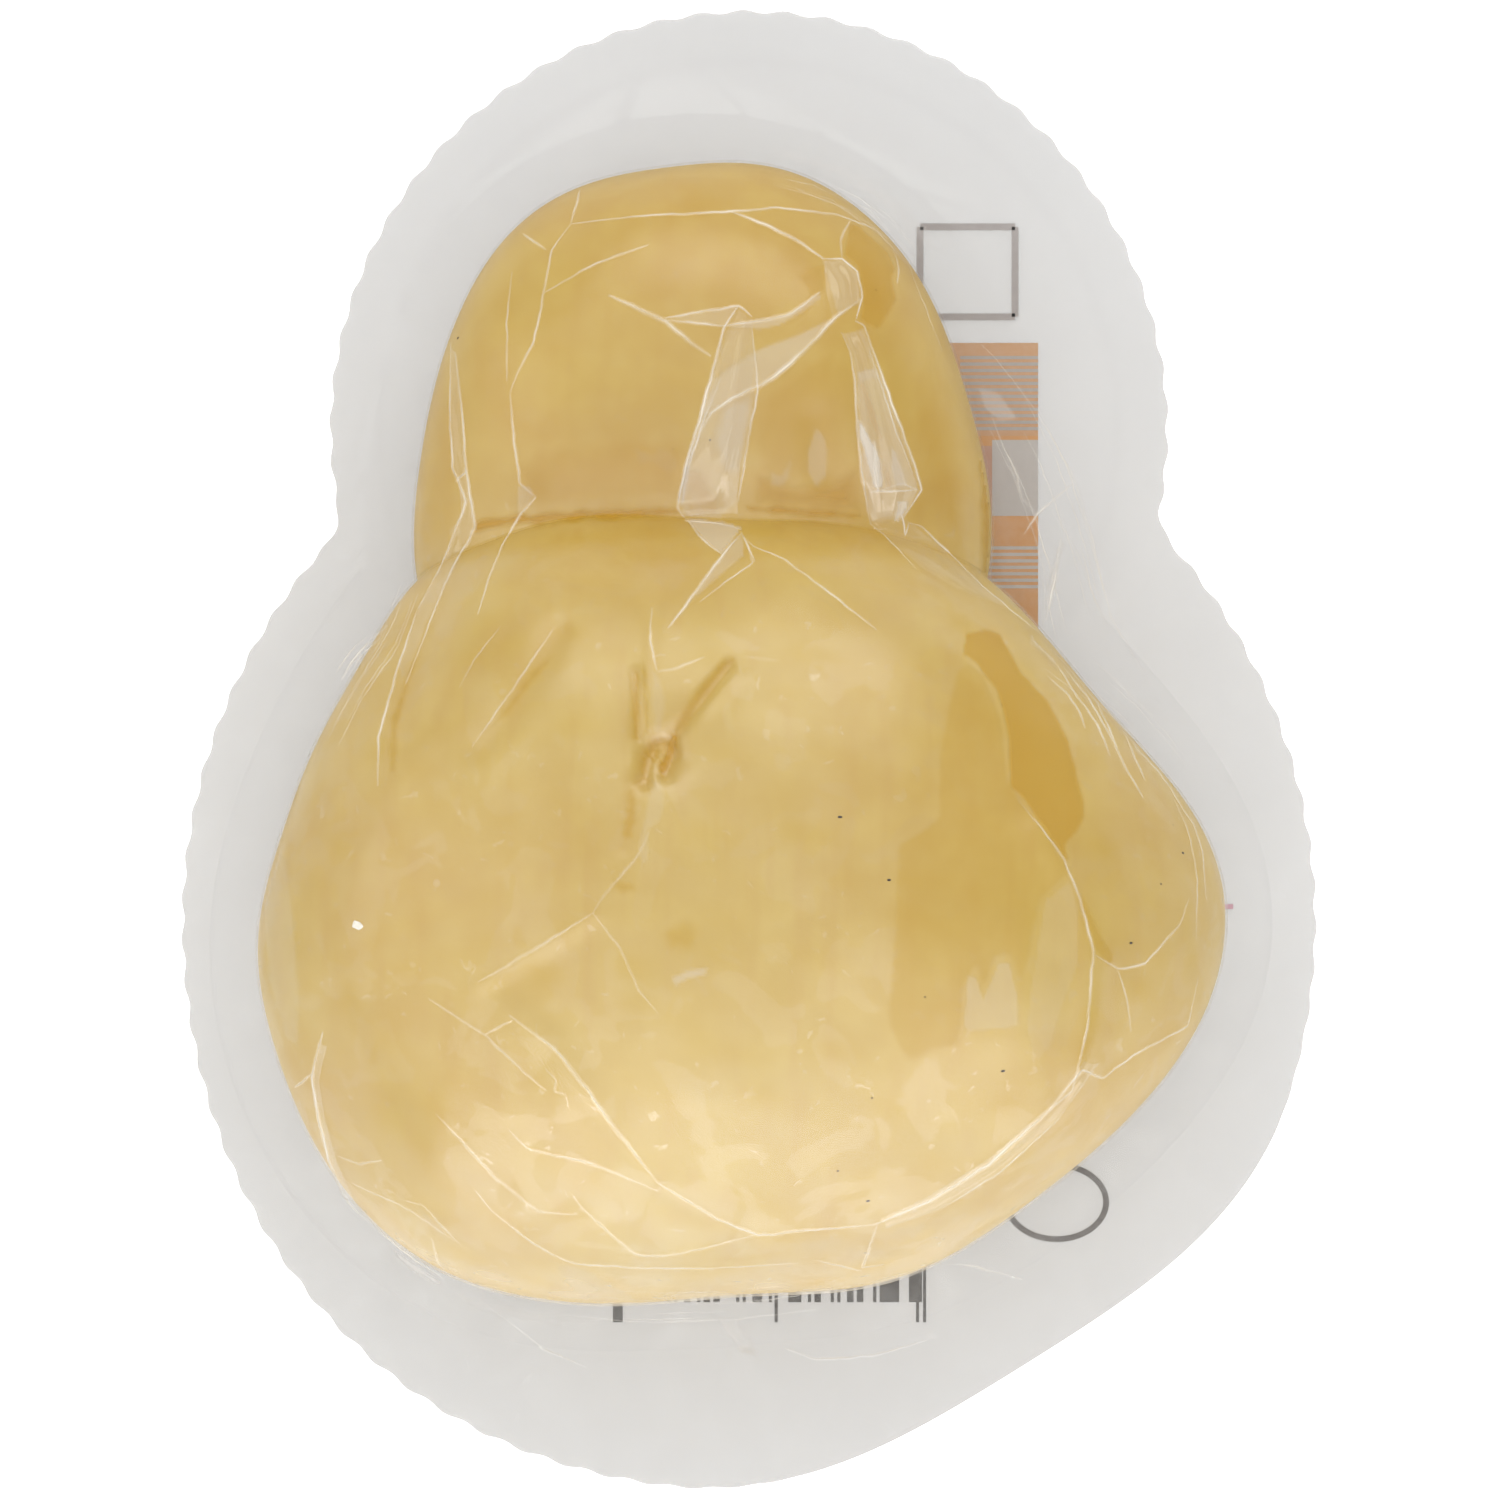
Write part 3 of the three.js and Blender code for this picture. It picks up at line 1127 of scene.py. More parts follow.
@dataclass(frozen=True)
class BackingSheet:
    """The backing sheet: two round lobes that meet at a waist, with a wavy die-cut edge."""

    pack_length: float = 142.0
    body_radius: float = 54.5
    head_radius: float = 40.3
    thickness: float = 0.3
    waist_fillet: float = 5.0
    wave_pitch: float = 4.1
    wave_depth: float = 0.32
    steps_per_wave: int = 16
    peel_corner: Corner = Corner(4.4, -58.0, 40.0)
    full_corner: Corner = Corner(-1.1, -130.0, 50.0)
    plain_edge: Corner = Corner(0.0, -53.0, 60.0)
    finish: MilkySheet = MilkySheet()

    @property
    def body_y(self) -> float:
        """Gives the body lobe's centre along the pack."""
        return self.body_radius - self.pack_length / 2

    @property
    def head_y(self) -> float:
        """Gives the head lobe's centre along the pack."""
        return self.pack_length / 2 - self.head_radius

    def arcs(self) -> list[tuple[float, float, float, float, float]]:
        """Gives the outline's arcs, counter-clockwise.

        Returns:
            For each arc, its centre's x and y, its radius, and its first and last angle.
        """
        apart = self.head_y - self.body_y
        to_body = self.body_radius + self.waist_fillet
        to_head = self.head_radius + self.waist_fillet
        along = (apart ** 2 + to_body ** 2 - to_head ** 2) / (2 * apart)
        x = math.sqrt(to_body ** 2 - along ** 2)
        y = self.body_y + along
        from_body = math.atan2(along, x)
        from_head = math.atan2(y - self.head_y, x)
        return [
            (0.0, self.body_y, self.body_radius, math.pi - from_body, 2 * math.pi + from_body),
            (x, y, self.waist_fillet, math.pi + from_body, math.pi + from_head),
            (0.0, self.head_y, self.head_radius, from_head, math.pi - from_head),
            (-x, y, self.waist_fillet, -from_head, -from_body),
        ]

    def outline(self) -> tuple[np.ndarray, np.ndarray, np.ndarray, np.ndarray]:
        """Makes the sheet's outline before its edge is waved.

        Returns:
            The points, the inward direction at each, its place along the edge in waves, and its share
            of the wave.
        """
        arcs = self.arcs()
        lengths = [radius * abs(last - first) for _, _, radius, first, last in arcs]
        waves = round(sum(lengths) / self.wave_pitch)
        steps = waves * self.steps_per_wave
        points, inward = [], []
        for step in range(steps):
            along = step / steps * sum(lengths)
            number = 0
            while along > lengths[number]:
                along -= lengths[number]
                number += 1
            x, y, radius, first, last = arcs[number]
            angle = first + (last - first) * along / lengths[number]
            way = np.array([math.cos(angle), math.sin(angle)])
            points.append(np.array([x, y]) + radius * way)
            inward.append(-way if last > first else way)
        places, inner = np.array(points), np.array(inward)
        seen = np.degrees(np.arctan2(places[:, 1] - self.body_y, places[:, 0]))
        for corner in (self.peel_corner, self.full_corner):
            places = places + inner * (corner.inset * corner.share(seen))[:, None]
        waved = 1 - np.minimum(2 * self.plain_edge.share(seen), 1)
        return places, inner, np.arange(steps) / self.steps_per_wave, waved

    def tree(self) -> NodeTree:
        """Makes the tree that waves an outline's edge, fills it and gives it its thickness.

        Returns:
            The tree, with the inputs Wave Depth, Thickness and Material.
        """
        tree, start = new_tree("die_cut_sheet", {
            "Wave Depth": "NodeSocketFloat", "Thickness": "NodeSocketFloat",
            "Material": "NodeSocketMaterial"})
        along = add_node(tree, "InputNamedAttribute", {"Name": "along"}, data_type="FLOAT")
        waved = add_node(tree, "InputNamedAttribute", {"Name": "waved"}, data_type="FLOAT")
        inward = add_node(tree, "InputNamedAttribute", {"Name": "inward"}, data_type="FLOAT_VECTOR")
        turn = add_node(tree, "Math", {0: along, 1: 2 * math.pi}, operation="MULTIPLY")
        cosine = add_node(tree, "Math", {0: turn}, operation="COSINE")
        wave = add_node(tree, "MapRange", {"Value": cosine, "From Min": 1.0, "From Max": -1.0})
        depth = add_node(tree, "Math", {0: wave, 1: start.outputs["Wave Depth"]}, operation="MULTIPLY")
        felt = add_node(tree, "Math", {0: depth, 1: waved}, operation="MULTIPLY")
        cut = add_node(tree, "VectorMath", {0: inward, "Scale": felt}, operation="SCALE")
        edge = add_node(tree, "SetPosition", {"Geometry": start.outputs["Geometry"], "Offset": cut})
        curve = add_node(tree, "MeshToCurve", {"Mesh": edge})
        face = add_node(tree, "FillCurve", {"Curve": curve}, mode="NGONS")
        height = add_node(tree, "CombineXYZ", {"Z": start.outputs["Thickness"]})
        raised = add_node(tree, "ExtrudeMesh", {"Mesh": face, "Offset": height, "Individual": False})
        under = add_node(tree, "FlipFaces", {"Mesh": face})
        both = add_node(tree, "JoinGeometry", {"Geometry": raised})
        tree.links.new(under.outputs["Mesh"], both.inputs["Geometry"])
        closed = add_node(tree, "MergeByDistance", {"Geometry": both, "Distance": 0.01 * MM})
        end_tree(tree, closed, start.outputs["Material"])
        return tree

    def build(self) -> Object:
        """Makes the sheet, with its faces pointing out.

        Returns:
            The sheet.
        """
        places, inward, along, waved = self.outline()
        count = len(places)
        edges = [(i, (i + 1) % count) for i in range(count)]
        sheet = mesh_object("milky_backing_sheet", np.column_stack([places, np.zeros(count)]), [], edges)
        add_values(sheet.data, along=along, waved=waved, inward=np.column_stack([inward, np.zeros(count)]))
        run_tree(sheet, self.tree(), {
            "Wave Depth": self.wave_depth * MM, "Thickness": self.thickness * MM,
            "Material": self.finish.material((0.0, self.head_y))})
        with edited(sheet.data) as shell:
            bmesh.ops.recalc_face_normals(shell, faces=shell.faces)
        return sheet


# The print on the sheet


@dataclass(frozen=True)
class PrintField:
    """One simple shape of ink on the sheet, at a box of pixels."""

    name: str
    shape: Print
    box: tuple[float, float, float, float]
    ink: str
    strength: float
    size: float = 0.0


PRINT_FIELDS = tuple(starmap(PrintField, (
    ("tan panel", Print.PANEL, (930, 343, 1038, 640), "#bd9064", 1.0),
    ("tan panel, lower part", Print.PANEL, (930, 436, 1038, 640), "#c58c48", 1.0),
    # A dark ink strip that paints the shadow of the cheese's edge on the panel.
    ("panel's shaded edge", Print.PANEL, (972, 446, 992, 600), "#a5601c", 0.8),
    ("upper lines", Print.LINES, (960, 352, 1038, 432), "#857a72", 0.75, 0.62),
    ("lower lines", Print.LINES, (960, 546, 1038, 590), "#857a72", 0.6, 0.62),
    ("grey block", Print.PANEL, (992, 440, 1038, 516), "#8d8279", 0.6),
    ("bars", Print.BARS, (622, 1240, 924, 1302), "#2e2a29", 1.0, 0.313),
    ("left guard bars", Print.BARS, (613, 1240, 624, 1322), "#2e2a29", 1.0, 0.313),
    ("middle guard bars", Print.BARS, (768, 1240, 778, 1322), "#2e2a29", 1.0, 0.313),
    ("right guard bar", Print.PANEL, (916, 1240, 919, 1322), "#2e2a29", 1.0),
    ("right guard bar, second", Print.PANEL, (923, 1240, 926, 1322), "#2e2a29", 1.0),
    ("oval ring", Print.RING, (1007, 1165, 1106, 1239), "#5c5856", 1.0, 0.55),
    ("plain frame", Print.FRAME, (920, 227, 1015, 317), "#8e8684", 0.9, 0.65),
    ("magenta dash", Print.PANEL, (1212, 904, 1233, 909), "#b04a78", 0.7),
)))


@dataclass(frozen=True)
class Stroke:
    """A straight stroke of ink: its middle, length and width in millimetres, and its turn in radians."""

    x: float
    y: float
    length: float
    width: float
    turn: float = 0.0


@dataclass(frozen=True)
class SheetPrint:
    """The print on the sheet: plain fields, lines, bars, a ring and a frame, in layers of ink, with one
    dark field that paints the cheese's shadow on the panel.
    """

    lowest: float = 0.306
    layer: float = 0.003
    line_share: float = 0.5
    bar_share: float = 0.5
    ring_strokes: int = 96
    ring_overlap: float = 1.1
    seed: int = 14
    paper: str = "#dddddd"
    finish: PrintInk = PrintInk()

    def strokes(self, field: PrintField, draw: np.random.Generator) -> list[Stroke]:
        """Draws one printed shape.

        Args:
            field: The shape.
            draw: The random numbers that the bars come from.

        Returns:
            Its strokes.
        """
        left, top = VIEW.on_sheet(np.array(field.box[:2]))
        right, bottom = VIEW.on_sheet(np.array(field.box[2:]))
        x, y, width, height = (left + right) / 2, (top + bottom) / 2, right - left, top - bottom
        if field.shape is Print.PANEL:
            return [Stroke(x, y, width, height)]
        if field.shape is Print.LINES:
            lines = np.arange(bottom + field.size / 2, top, field.size)
            return [Stroke(x, line, width, field.size * self.line_share) for line in lines]
        if field.shape is Print.BARS:
            cells = np.arange(left + field.size / 2, right, field.size)
            inked = draw.random(len(cells)) < self.bar_share
            return [Stroke(cell, y, field.size, height) for cell in cells[inked]]
        if field.shape is Print.FRAME:
            flat = [Stroke(x, edge, width, field.size) for edge in (bottom, top)]
            return flat + [Stroke(edge, y, field.size, height) for edge in (left, right)]
        angles = np.linspace(0, 2 * math.pi, self.ring_strokes, endpoint=False)
        rim = np.stack([width / 2 * np.cos(angles), height / 2 * np.sin(angles)], -1)
        runs = np.roll(rim, -1, axis=0) - rim
        middles = rim + runs / 2 + (x, y)
        lengths = [math.hypot(*run) * self.ring_overlap for run in runs]
        turns = [math.atan2(run[1], run[0]) for run in runs]
        pieces = zip(middles, lengths, turns)
        return [Stroke(*middle, length, field.size, turn) for middle, length, turn in pieces]

    def tree(self) -> NodeTree:
        """Makes the tree that sets a flat stroke of its own size and turn on each point.

        Returns:
            The tree, with the input Material.
        """
        tree, start = new_tree("print_strokes", {"Material": "NodeSocketMaterial"})
        points = add_node(tree, "MeshToPoints", {"Mesh": start.outputs["Geometry"]})
        flat = add_node(tree, "MeshGrid", {"Size X": 1.0, "Size Y": 1.0, "Vertices X": 2, "Vertices Y": 2})
        size = add_node(tree, "InputNamedAttribute", {"Name": "size"}, data_type="FLOAT_VECTOR")
        turn = add_node(tree, "InputNamedAttribute", {"Name": "turn"}, data_type="FLOAT_VECTOR")
        strokes = add_node(tree, "InstanceOnPoints", {
            "Points": points, "Instance": flat, "Rotation": turn, "Scale": size})
        end_tree(tree, strokes, start.outputs["Material"])
        return tree

    def build(self) -> Object:
        """Prints all the shapes as one piece.

        Returns:
            The piece.
        """
        draw = np.random.default_rng(self.seed)
        points, sizes, turns, inks = [], [], [], []
        for number, field in enumerate(PRINT_FIELDS):
            ink = np.array(linear(field.ink)[:3]) * field.strength
            ink += np.array(linear(self.paper)[:3]) * (1 - field.strength)
            for stroke in self.strokes(field, draw):
                points.append((stroke.x, stroke.y, self.lowest + self.layer * number))
                sizes.append((stroke.length * MM, stroke.width * MM, 1.0))
                turns.append((0.0, 0.0, stroke.turn))
                inks.append(ink)
        made = mesh_object("sheet_print", np.array(points), [])
        add_values(made.data, size=sizes, turn=turns, ink=inks)
        run_tree(made, self.tree(), {"Material": self.finish.material()})
        return made


# Patches between the film and the rind


EDGE_WANDER = Unevenness(height=0.12, wavelength=1.7, waves=9, seed=31)


@dataclass(frozen=True)
class FilmPatch:
    """A patch of whey, trapped air, painted shade or painted highlight: how strongly it shows, how far it
    fades in, and its outline.
    """

    name: str
    strength: float
    fade: float
    outline: Route

    def share(self, pixels: np.ndarray) -> np.ndarray:
        """Gives how much of the patch is felt where pixels show the pack.

        Args:
            pixels: One row each.

        Returns:
            The patch's strength well inside its outline, and 0 outside it.
        """
        rim = smooth_route((*self.outline, *self.outline[:2]), RIM_STEP, TAUTNESS)
        share = np.zeros(len(pixels))
        low, high = rim.min(axis=0) - RIM_MARGIN, rim.max(axis=0) + RIM_MARGIN
        near = np.all((pixels > low) & (pixels < high), axis=1)
        places = pixels[near]
        if len(places) == 0:
            return share
        x, y = places.T
        inside = np.zeros(len(places), bool)
        for (ax, ay), (bx, by) in zip(rim, rim[1:]):
            if ay != by:
                inside ^= ((ay > y) != (by > y)) & (x < (bx - ax) * (y - ay) / (by - ay) + ax)
        depth = route_distance(places, rim) * VIEW.pixel * np.where(inside, 1, -1)
        flat = np.column_stack([VIEW.on_sheet(places), np.zeros(len(places))])
        felt = np.clip((depth + EDGE_WANDER.at(flat) * min(self.fade, 1)) / self.fade, 0, 1)
        share[near] = self.strength * felt ** 2 * (3 - 2 * felt)
        return share


# Dark amber patches: most are whey that wets the film to the rind; some are painted shade in the neck's
# crease, under the head, below the pleats, at the left cheek and along the head's lower right edge.
WHEY_AND_SHADE_PATCHES = tuple(starmap(FilmPatch, (
    ("right shoulder", 0.5, 0.4, (
        964, 632, 983, 628, 1001, 633, 1022, 671, 1049, 700, 1069, 739, 1076, 766, 1086, 806, 1086, 818,
        1078, 832, 1066, 846, 1070, 864, 1058, 852, 1042, 829, 1022, 800, 1009, 786, 1006, 733, 996, 693,
        975, 665, 962, 655)),
    ("right belly", 0.1, 0.4, (
        955, 672, 946, 710, 938, 759, 937, 816, 918, 832, 897, 845, 893, 932, 886, 1015, 896, 1045,
        910, 1063, 936, 1050, 960, 1048, 962, 1030, 966, 985, 975, 968, 984, 990, 998, 958, 1010, 958,
        1022, 995, 1030, 960, 1042, 900, 1072, 872, 1058, 850, 1030, 810, 1010, 784, 1003, 720, 985, 675,
        968, 660)),
    ("right arc", 0.2, 0.4, (1076, 880, 1100, 930, 1116, 958, 1108, 968, 1094, 950, 1082, 915)),
    ("right of the knot", 0.42, 0.4, (
        849, 222, 860, 225, 879, 242, 890, 253, 897, 270, 893, 279, 898, 300, 887, 318, 879, 331,
        866, 326, 858, 319, 862, 293, 856, 267, 842, 256)),
    ("left of the knot", 0.26, 0.6, (
        796, 276, 812, 264, 826, 264, 826, 294, 806, 314, 783, 329, 767, 344, 792, 312, 806, 294)),
    ("between the pleats", 0.14, 2.2, (
        757, 392, 800, 352, 838, 346, 850, 398, 857, 470, 838, 492, 783, 494, 756, 474, 748, 436)),
    ("head, right side", 0.12, 2.5, (925, 330, 955, 380, 968, 470, 970, 560, 945, 535, 920, 470, 905, 400)),
    # Painted shade: the head darker low down, by the neck.
    ("head, lower", 0.26, 3.0, (
        505, 462, 560, 440, 640, 432, 692, 440, 690, 500, 640, 506, 560, 512, 515, 512)),
    ("pucker, left leg", 0.24, 0.35, (
        641, 784, 639, 762, 645, 746, 656, 737, 664, 737, 655, 748, 651, 764, 646, 782)),
    ("pucker, right leg", 0.75, 0.3, (
        666, 744, 671, 733, 679, 734, 676, 754, 669, 772, 662, 778, 656, 766, 663, 758)),
    ("pucker, bridge", 0.16, 0.5, (646, 738, 660, 733, 674, 736, 670, 762, 656, 768, 646, 758)),
    ("right pleat gap", 0.45, 0.25, (884, 464, 889, 468, 893, 490, 886, 489)),
    ("right pleat, brown line", 0.5, 0.3, (
        857, 376, 862, 378, 873, 404, 881, 432, 885, 442, 876, 438, 866, 412)),
    # Painted shade in the crease below the pleats.
    ("between the pleats, low", 0.6, 2.2, (752, 468, 800, 480, 858, 466, 868, 518, 800, 516, 750, 510)),
    ("right pleat, upper amber", 0.1, 0.6, (842, 334, 864, 328, 872, 350, 866, 388, 856, 372)),
    ("left pleat foot", 0.4, 1.0, (680, 468, 702, 466, 722, 498, 720, 518, 684, 516)),
    ("pucker, outer pull", 0.34, 0.4, (634, 670, 639, 672, 641, 705, 639, 738, 632, 742, 631, 705)),
    ("pucker, inner pull", 0.32, 0.35, (643, 652, 648, 690, 650, 732, 645, 736, 642, 690)),
    ("pucker, right pull", 0.26, 0.4, (
        738, 656, 728, 672, 700, 708, 680, 734, 667, 737, 680, 712, 700, 684, 722, 660)),
    ("pucker, lower left", 0.26, 0.9, (626, 786, 637, 784, 640, 812, 634, 840, 620, 846, 622, 812)),
    # Painted shade beside the groove of the left cheek.
    ("left cheek", 0.24, 0.8, (562, 648, 540, 680, 510, 716, 486, 736, 500, 708, 530, 668)),
    ("left shoulder", 0.3, 0.8, (428, 640, 412, 680, 400, 730, 398, 772, 387, 776, 390, 720, 408, 668)),
    ("above the middle fold", 0.3, 1.2, (612, 876, 634, 880, 640, 892, 622, 896, 610, 890)),
    ("below the middle", 0.18, 2.0, (655, 930, 690, 908, 706, 930, 698, 958, 664, 956)),
    # Painted shade along the neck's crease, and the cheese's painted shadow along the head's lower right
    # edge.
    ("neck crease, left", 0.9, 1.0, (
        472, 519, 520, 511, 600, 507, 680, 504, 682, 517, 600, 523, 520, 527, 473, 535)),
    ("neck crease, right", 0.85, 0.9, (744, 503, 800, 504, 862, 511, 866, 521, 800, 519, 746, 513)),
    ("neck's end, right", 0.5, 0.8, (976, 440, 988, 450, 994, 520, 990, 585, 980, 588, 978, 520)),
)))
# White patches on the film: air and folded film that scatter light, and painted highlights, sheens and
# reflections of the film, in its facets, streaks, drops, glint, gleam and sheens, the white crescent, the
# bottom blotch and the veil at the left side.
AIR_AND_SHEEN_PATCHES = tuple(starmap(FilmPatch, (
    ("flap facet", 0.16, 0.1, (664, 318, 738, 306, 725, 327)),
    ("pleat, upper facet", 0.1, 0.15, (725, 328, 752, 329, 754, 352, 735, 366, 718, 378)),
    ("diagonal facet", 0.26, 0.4, (
        714, 378, 736, 362, 754, 350, 800, 332, 838, 314, 813, 341, 783, 370, 762, 384, 732, 398,
        704, 420, 700, 412)),
    ("left pleat facet", 0.18, 0.3, (
        698, 424, 708, 412, 732, 397, 758, 388, 751, 423, 741, 484, 738, 502, 720, 520, 685, 517,
        679, 500, 687, 460)),
    ("left pleat, bright strip", 0.2, 0.9, (722, 404, 756, 394, 750, 430, 743, 474, 722, 474, 712, 440)),
    ("left pleat margin", 0.08, 0.1, (
        724, 328, 719, 372, 707, 412, 692, 462, 683, 508, 678, 505, 688, 457, 701, 412)),
    ("blade", 0.22, 0.15, (724, 327, 770, 318, 793, 312, 819, 292, 821, 299, 800, 314, 779, 326, 760, 330)),
    ("knot facet", 0.14, 0.15, (821, 259, 842, 259, 857, 272, 861, 299, 838, 315, 833, 300, 827, 280)),
    ("right pleat facet", 0.21, 0.3, (
        856, 372, 876, 366, 884, 382, 898, 421, 913, 464, 920, 490, 903, 518, 870, 524, 861, 464,
        857, 412)),
    ("right pleat, upper facet", 0.1, 0.4, (842, 334, 864, 328, 871, 346, 882, 378, 858, 384, 850, 354)),
    ("right pleat foot", 0.4, 0.25, (897, 500, 909, 500, 906, 514, 898, 524, 893, 520)),
    # Painted reflection: the white streak on the right pleat.
    ("right pleat streak", 0.55, 0.25, (
        856, 416, 863, 424, 874, 444, 882, 462, 883, 487, 873, 489, 867, 464, 859, 438)),
    ("right pleat, second streak", 0.3, 0.3, (890, 446, 897, 452, 908, 486, 895, 488, 890, 466)),
    ("neck triangle facet", 0.33, 0.1, (685, 518, 720, 521, 742, 528, 722, 555, 702, 539)),
    ("neck dart facet", 0.2, 0.15, (742, 533, 744, 556, 716, 580, 692, 601, 705, 576, 722, 555)),
    ("shoulder facet", 0.04, 0.15, (
        870, 525, 905, 535, 909, 523, 922, 527, 960, 564, 1006, 606, 975, 594, 930, 570, 895, 547)),
    ("left band facet", 0.03, 0.15, (
        452, 345, 457, 352, 464, 419, 468, 470, 478, 524, 450, 578, 420, 640, 400, 684, 398, 668,
        417, 611, 444, 560, 465, 503, 452, 467, 450, 412)),
    ("shoulder veil", 0.38, 0.9, (
        1030, 626, 1062, 650, 1102, 694, 1130, 722, 1108, 722, 1080, 692, 1055, 668, 1028, 644)),
    ("low milky facet", 0.1, 0.4, (551, 1262, 584, 1266, 640, 1300, 584, 1302)),
    ("web veil", 0.26, 0.5, (975, 385, 1000, 392, 1012, 408, 1020, 420, 1000, 424, 982, 410)),
    ("web streak", 0.35, 0.35, (1060, 538, 1066, 545, 1052, 580, 1046, 622, 1040, 628, 1044, 590)),
    ("right pocket", 0.15, 0.18, (
        963, 1026, 967, 976, 977, 977, 983, 997, 998, 962, 1009, 962, 1018, 996, 1019, 1026, 996, 1030,
        968, 1031)),
    ("right pocket, long", 0.07, 0.2, (
        1044, 902, 1070, 880, 1078, 910, 1078, 962, 1066, 998, 1060, 1014, 1050, 1048, 1038, 1060,
        1030, 1050, 1026, 1026, 1030, 988, 1036, 950)),
    ("drop below the pucker", 0.1, 0.35, (
        652, 779, 662, 780, 666, 804, 662, 822, 650, 831, 649, 860, 642, 868, 637, 848, 644, 816,
        648, 792)),
    ("breast", 0.1, 0.5, (650, 668, 658, 672, 668, 700, 662, 734, 652, 734, 650, 700)),
    ("round mark", 0.05, 0.5, (772, 752, 788, 750, 796, 764, 786, 774, 774, 770)),
    ("neck facet", 0.2, 0.2, (517, 485, 531, 486, 536, 497, 526, 508, 517, 516)),
    # Painted reflections on the film between the pleats.
    ("drop between the pleats", 0.18, 0.3, (
        815, 425, 824, 434, 829, 450, 827, 476, 816, 488, 807, 474, 807, 450)),
    ("drop beside it", 0.14, 0.4, (770, 486, 770, 470, 780, 474, 793, 454, 791, 478, 782, 488)),
    ("speckle", 0.05, 0.5, (
        632, 446, 652, 452, 660, 444, 674, 450, 680, 468, 668, 476, 650, 464, 638, 466)),
    ("glint", 0.24, 0.25, (671, 977, 688, 970, 706, 967, 708, 975, 690, 979, 674, 987)),
    ("lower left gleam", 0.12, 0.7, (408, 1196, 426, 1208, 450, 1234, 470, 1248, 446, 1244, 424, 1222)),
    ("lower sheen", 0.04, 3.5, (
        660, 1060, 760, 1040, 850, 1060, 900, 1110, 900, 1180, 820, 1205, 730, 1190, 670, 1130)),
    ("lower facet", 0.08, 0.9, (
        575, 1262, 660, 1252, 740, 1240, 800, 1237, 873, 1230, 940, 1215, 908, 1256, 820, 1282,
        720, 1296, 640, 1294)),
    ("lower right facet", 0.03, 1.0, (
        925, 1216, 1000, 1178, 1056, 1128, 1098, 1090, 1150, 1062, 1120, 1128, 1060, 1182, 985, 1230,
        930, 1248)),
    # Painted sheens and highlights on the film at the left side and along the bottom.
    ("left side", 0.12, 0.5, (
        262, 900, 268, 866, 280, 850, 290, 860, 296, 920, 302, 1000, 300, 1050, 284, 1036, 268, 980)),
    ("white crescent", 0.6, 0.4, (
        390, 1245, 410, 1257, 430, 1271, 448, 1285, 436, 1285, 414, 1273, 398, 1260)),
    ("film below the body", 0.22, 1.2, (
        440, 1284, 480, 1292, 550, 1309, 612, 1312, 600, 1328, 530, 1328, 470, 1312)),
    ("bottom blotch", 0.3, 0.6, (714, 1314, 736, 1317, 752, 1338, 760, 1358, 744, 1356, 726, 1336)),
    ("film above the head", 0.2, 1.4, (
        730, 146, 800, 146, 866, 170, 920, 214, 946, 254, 926, 256, 886, 216, 832, 180, 770, 160)),
)))


@dataclass(frozen=True)
class UnderFilm:
    """Thin patches between film and rind, each a fine net laid on a surface, a little over the last."""

    name: str
    patches: tuple[FilmPatch, ...]
    finish: PatchFinish
    lift: float = 0.03
    layer: float = 0.0015
    mesh_step: float = 2.5
    margin_steps: int = 3
    least_share: float = 0.002
    longest_drop: float = 1.2

    def net(self, patch: FilmPatch, skin: Skin, lift: float) -> tuple[np.ndarray, np.ndarray, np.ndarray]:
        """Lays one patch on a surface.

        Args:
            patch: The patch.
            skin: The surface.
            lift: How far it lies above the surface.

        Returns:
            Its points, how much of it is felt at each, and its faces.
        """
        rim = knots_of(patch.outline)
        margin = self.margin_steps * self.mesh_step
        low, high = rim.min(axis=0) - margin, rim.max(axis=0) + margin
        x, y = (np.arange(low[axis], high[axis], self.mesh_step) for axis in (0, 1))
        pixels = np.stack(np.meshgrid(x, y), -1).reshape(-1, 2)
        share = patch.share(pixels)
        here = np.arange(len(pixels)).reshape(len(y), len(x))
        quads = grid_faces(here)
        quads = quads[share[quads].max(axis=1) > self.least_share]
        used = np.unique(quads)
        places, normals, found = skin.seen(pixels[used])
        kept = used[found]
        quads = np.searchsorted(kept, quads[np.isin(quads, kept).all(axis=1)])
        quads = quads[np.ptp(places[quads][..., 2], axis=1) < self.longest_drop]
        return places + lift * normals, share[kept], quads

    def build(self, skin: Skin) -> Object:
        """Lays all the patches as one piece.

        Args:
            skin: The surface that they lie on.

        Returns:
            The piece.
        """
        points, shares, faces = [], [], []
        for number, patch in enumerate(self.patches):
            places, share, quads = self.net(patch, skin, self.lift + self.layer * number)
            faces += (quads + sum(map(len, points))).tolist()
            points.append(places)
            shares.append(share)
        made = mesh_object(self.name, np.vstack(points), faces)
        add_values(made.data, share=np.concatenate(shares))
        made.data.materials.append(self.finish.material())
        return made


# The film


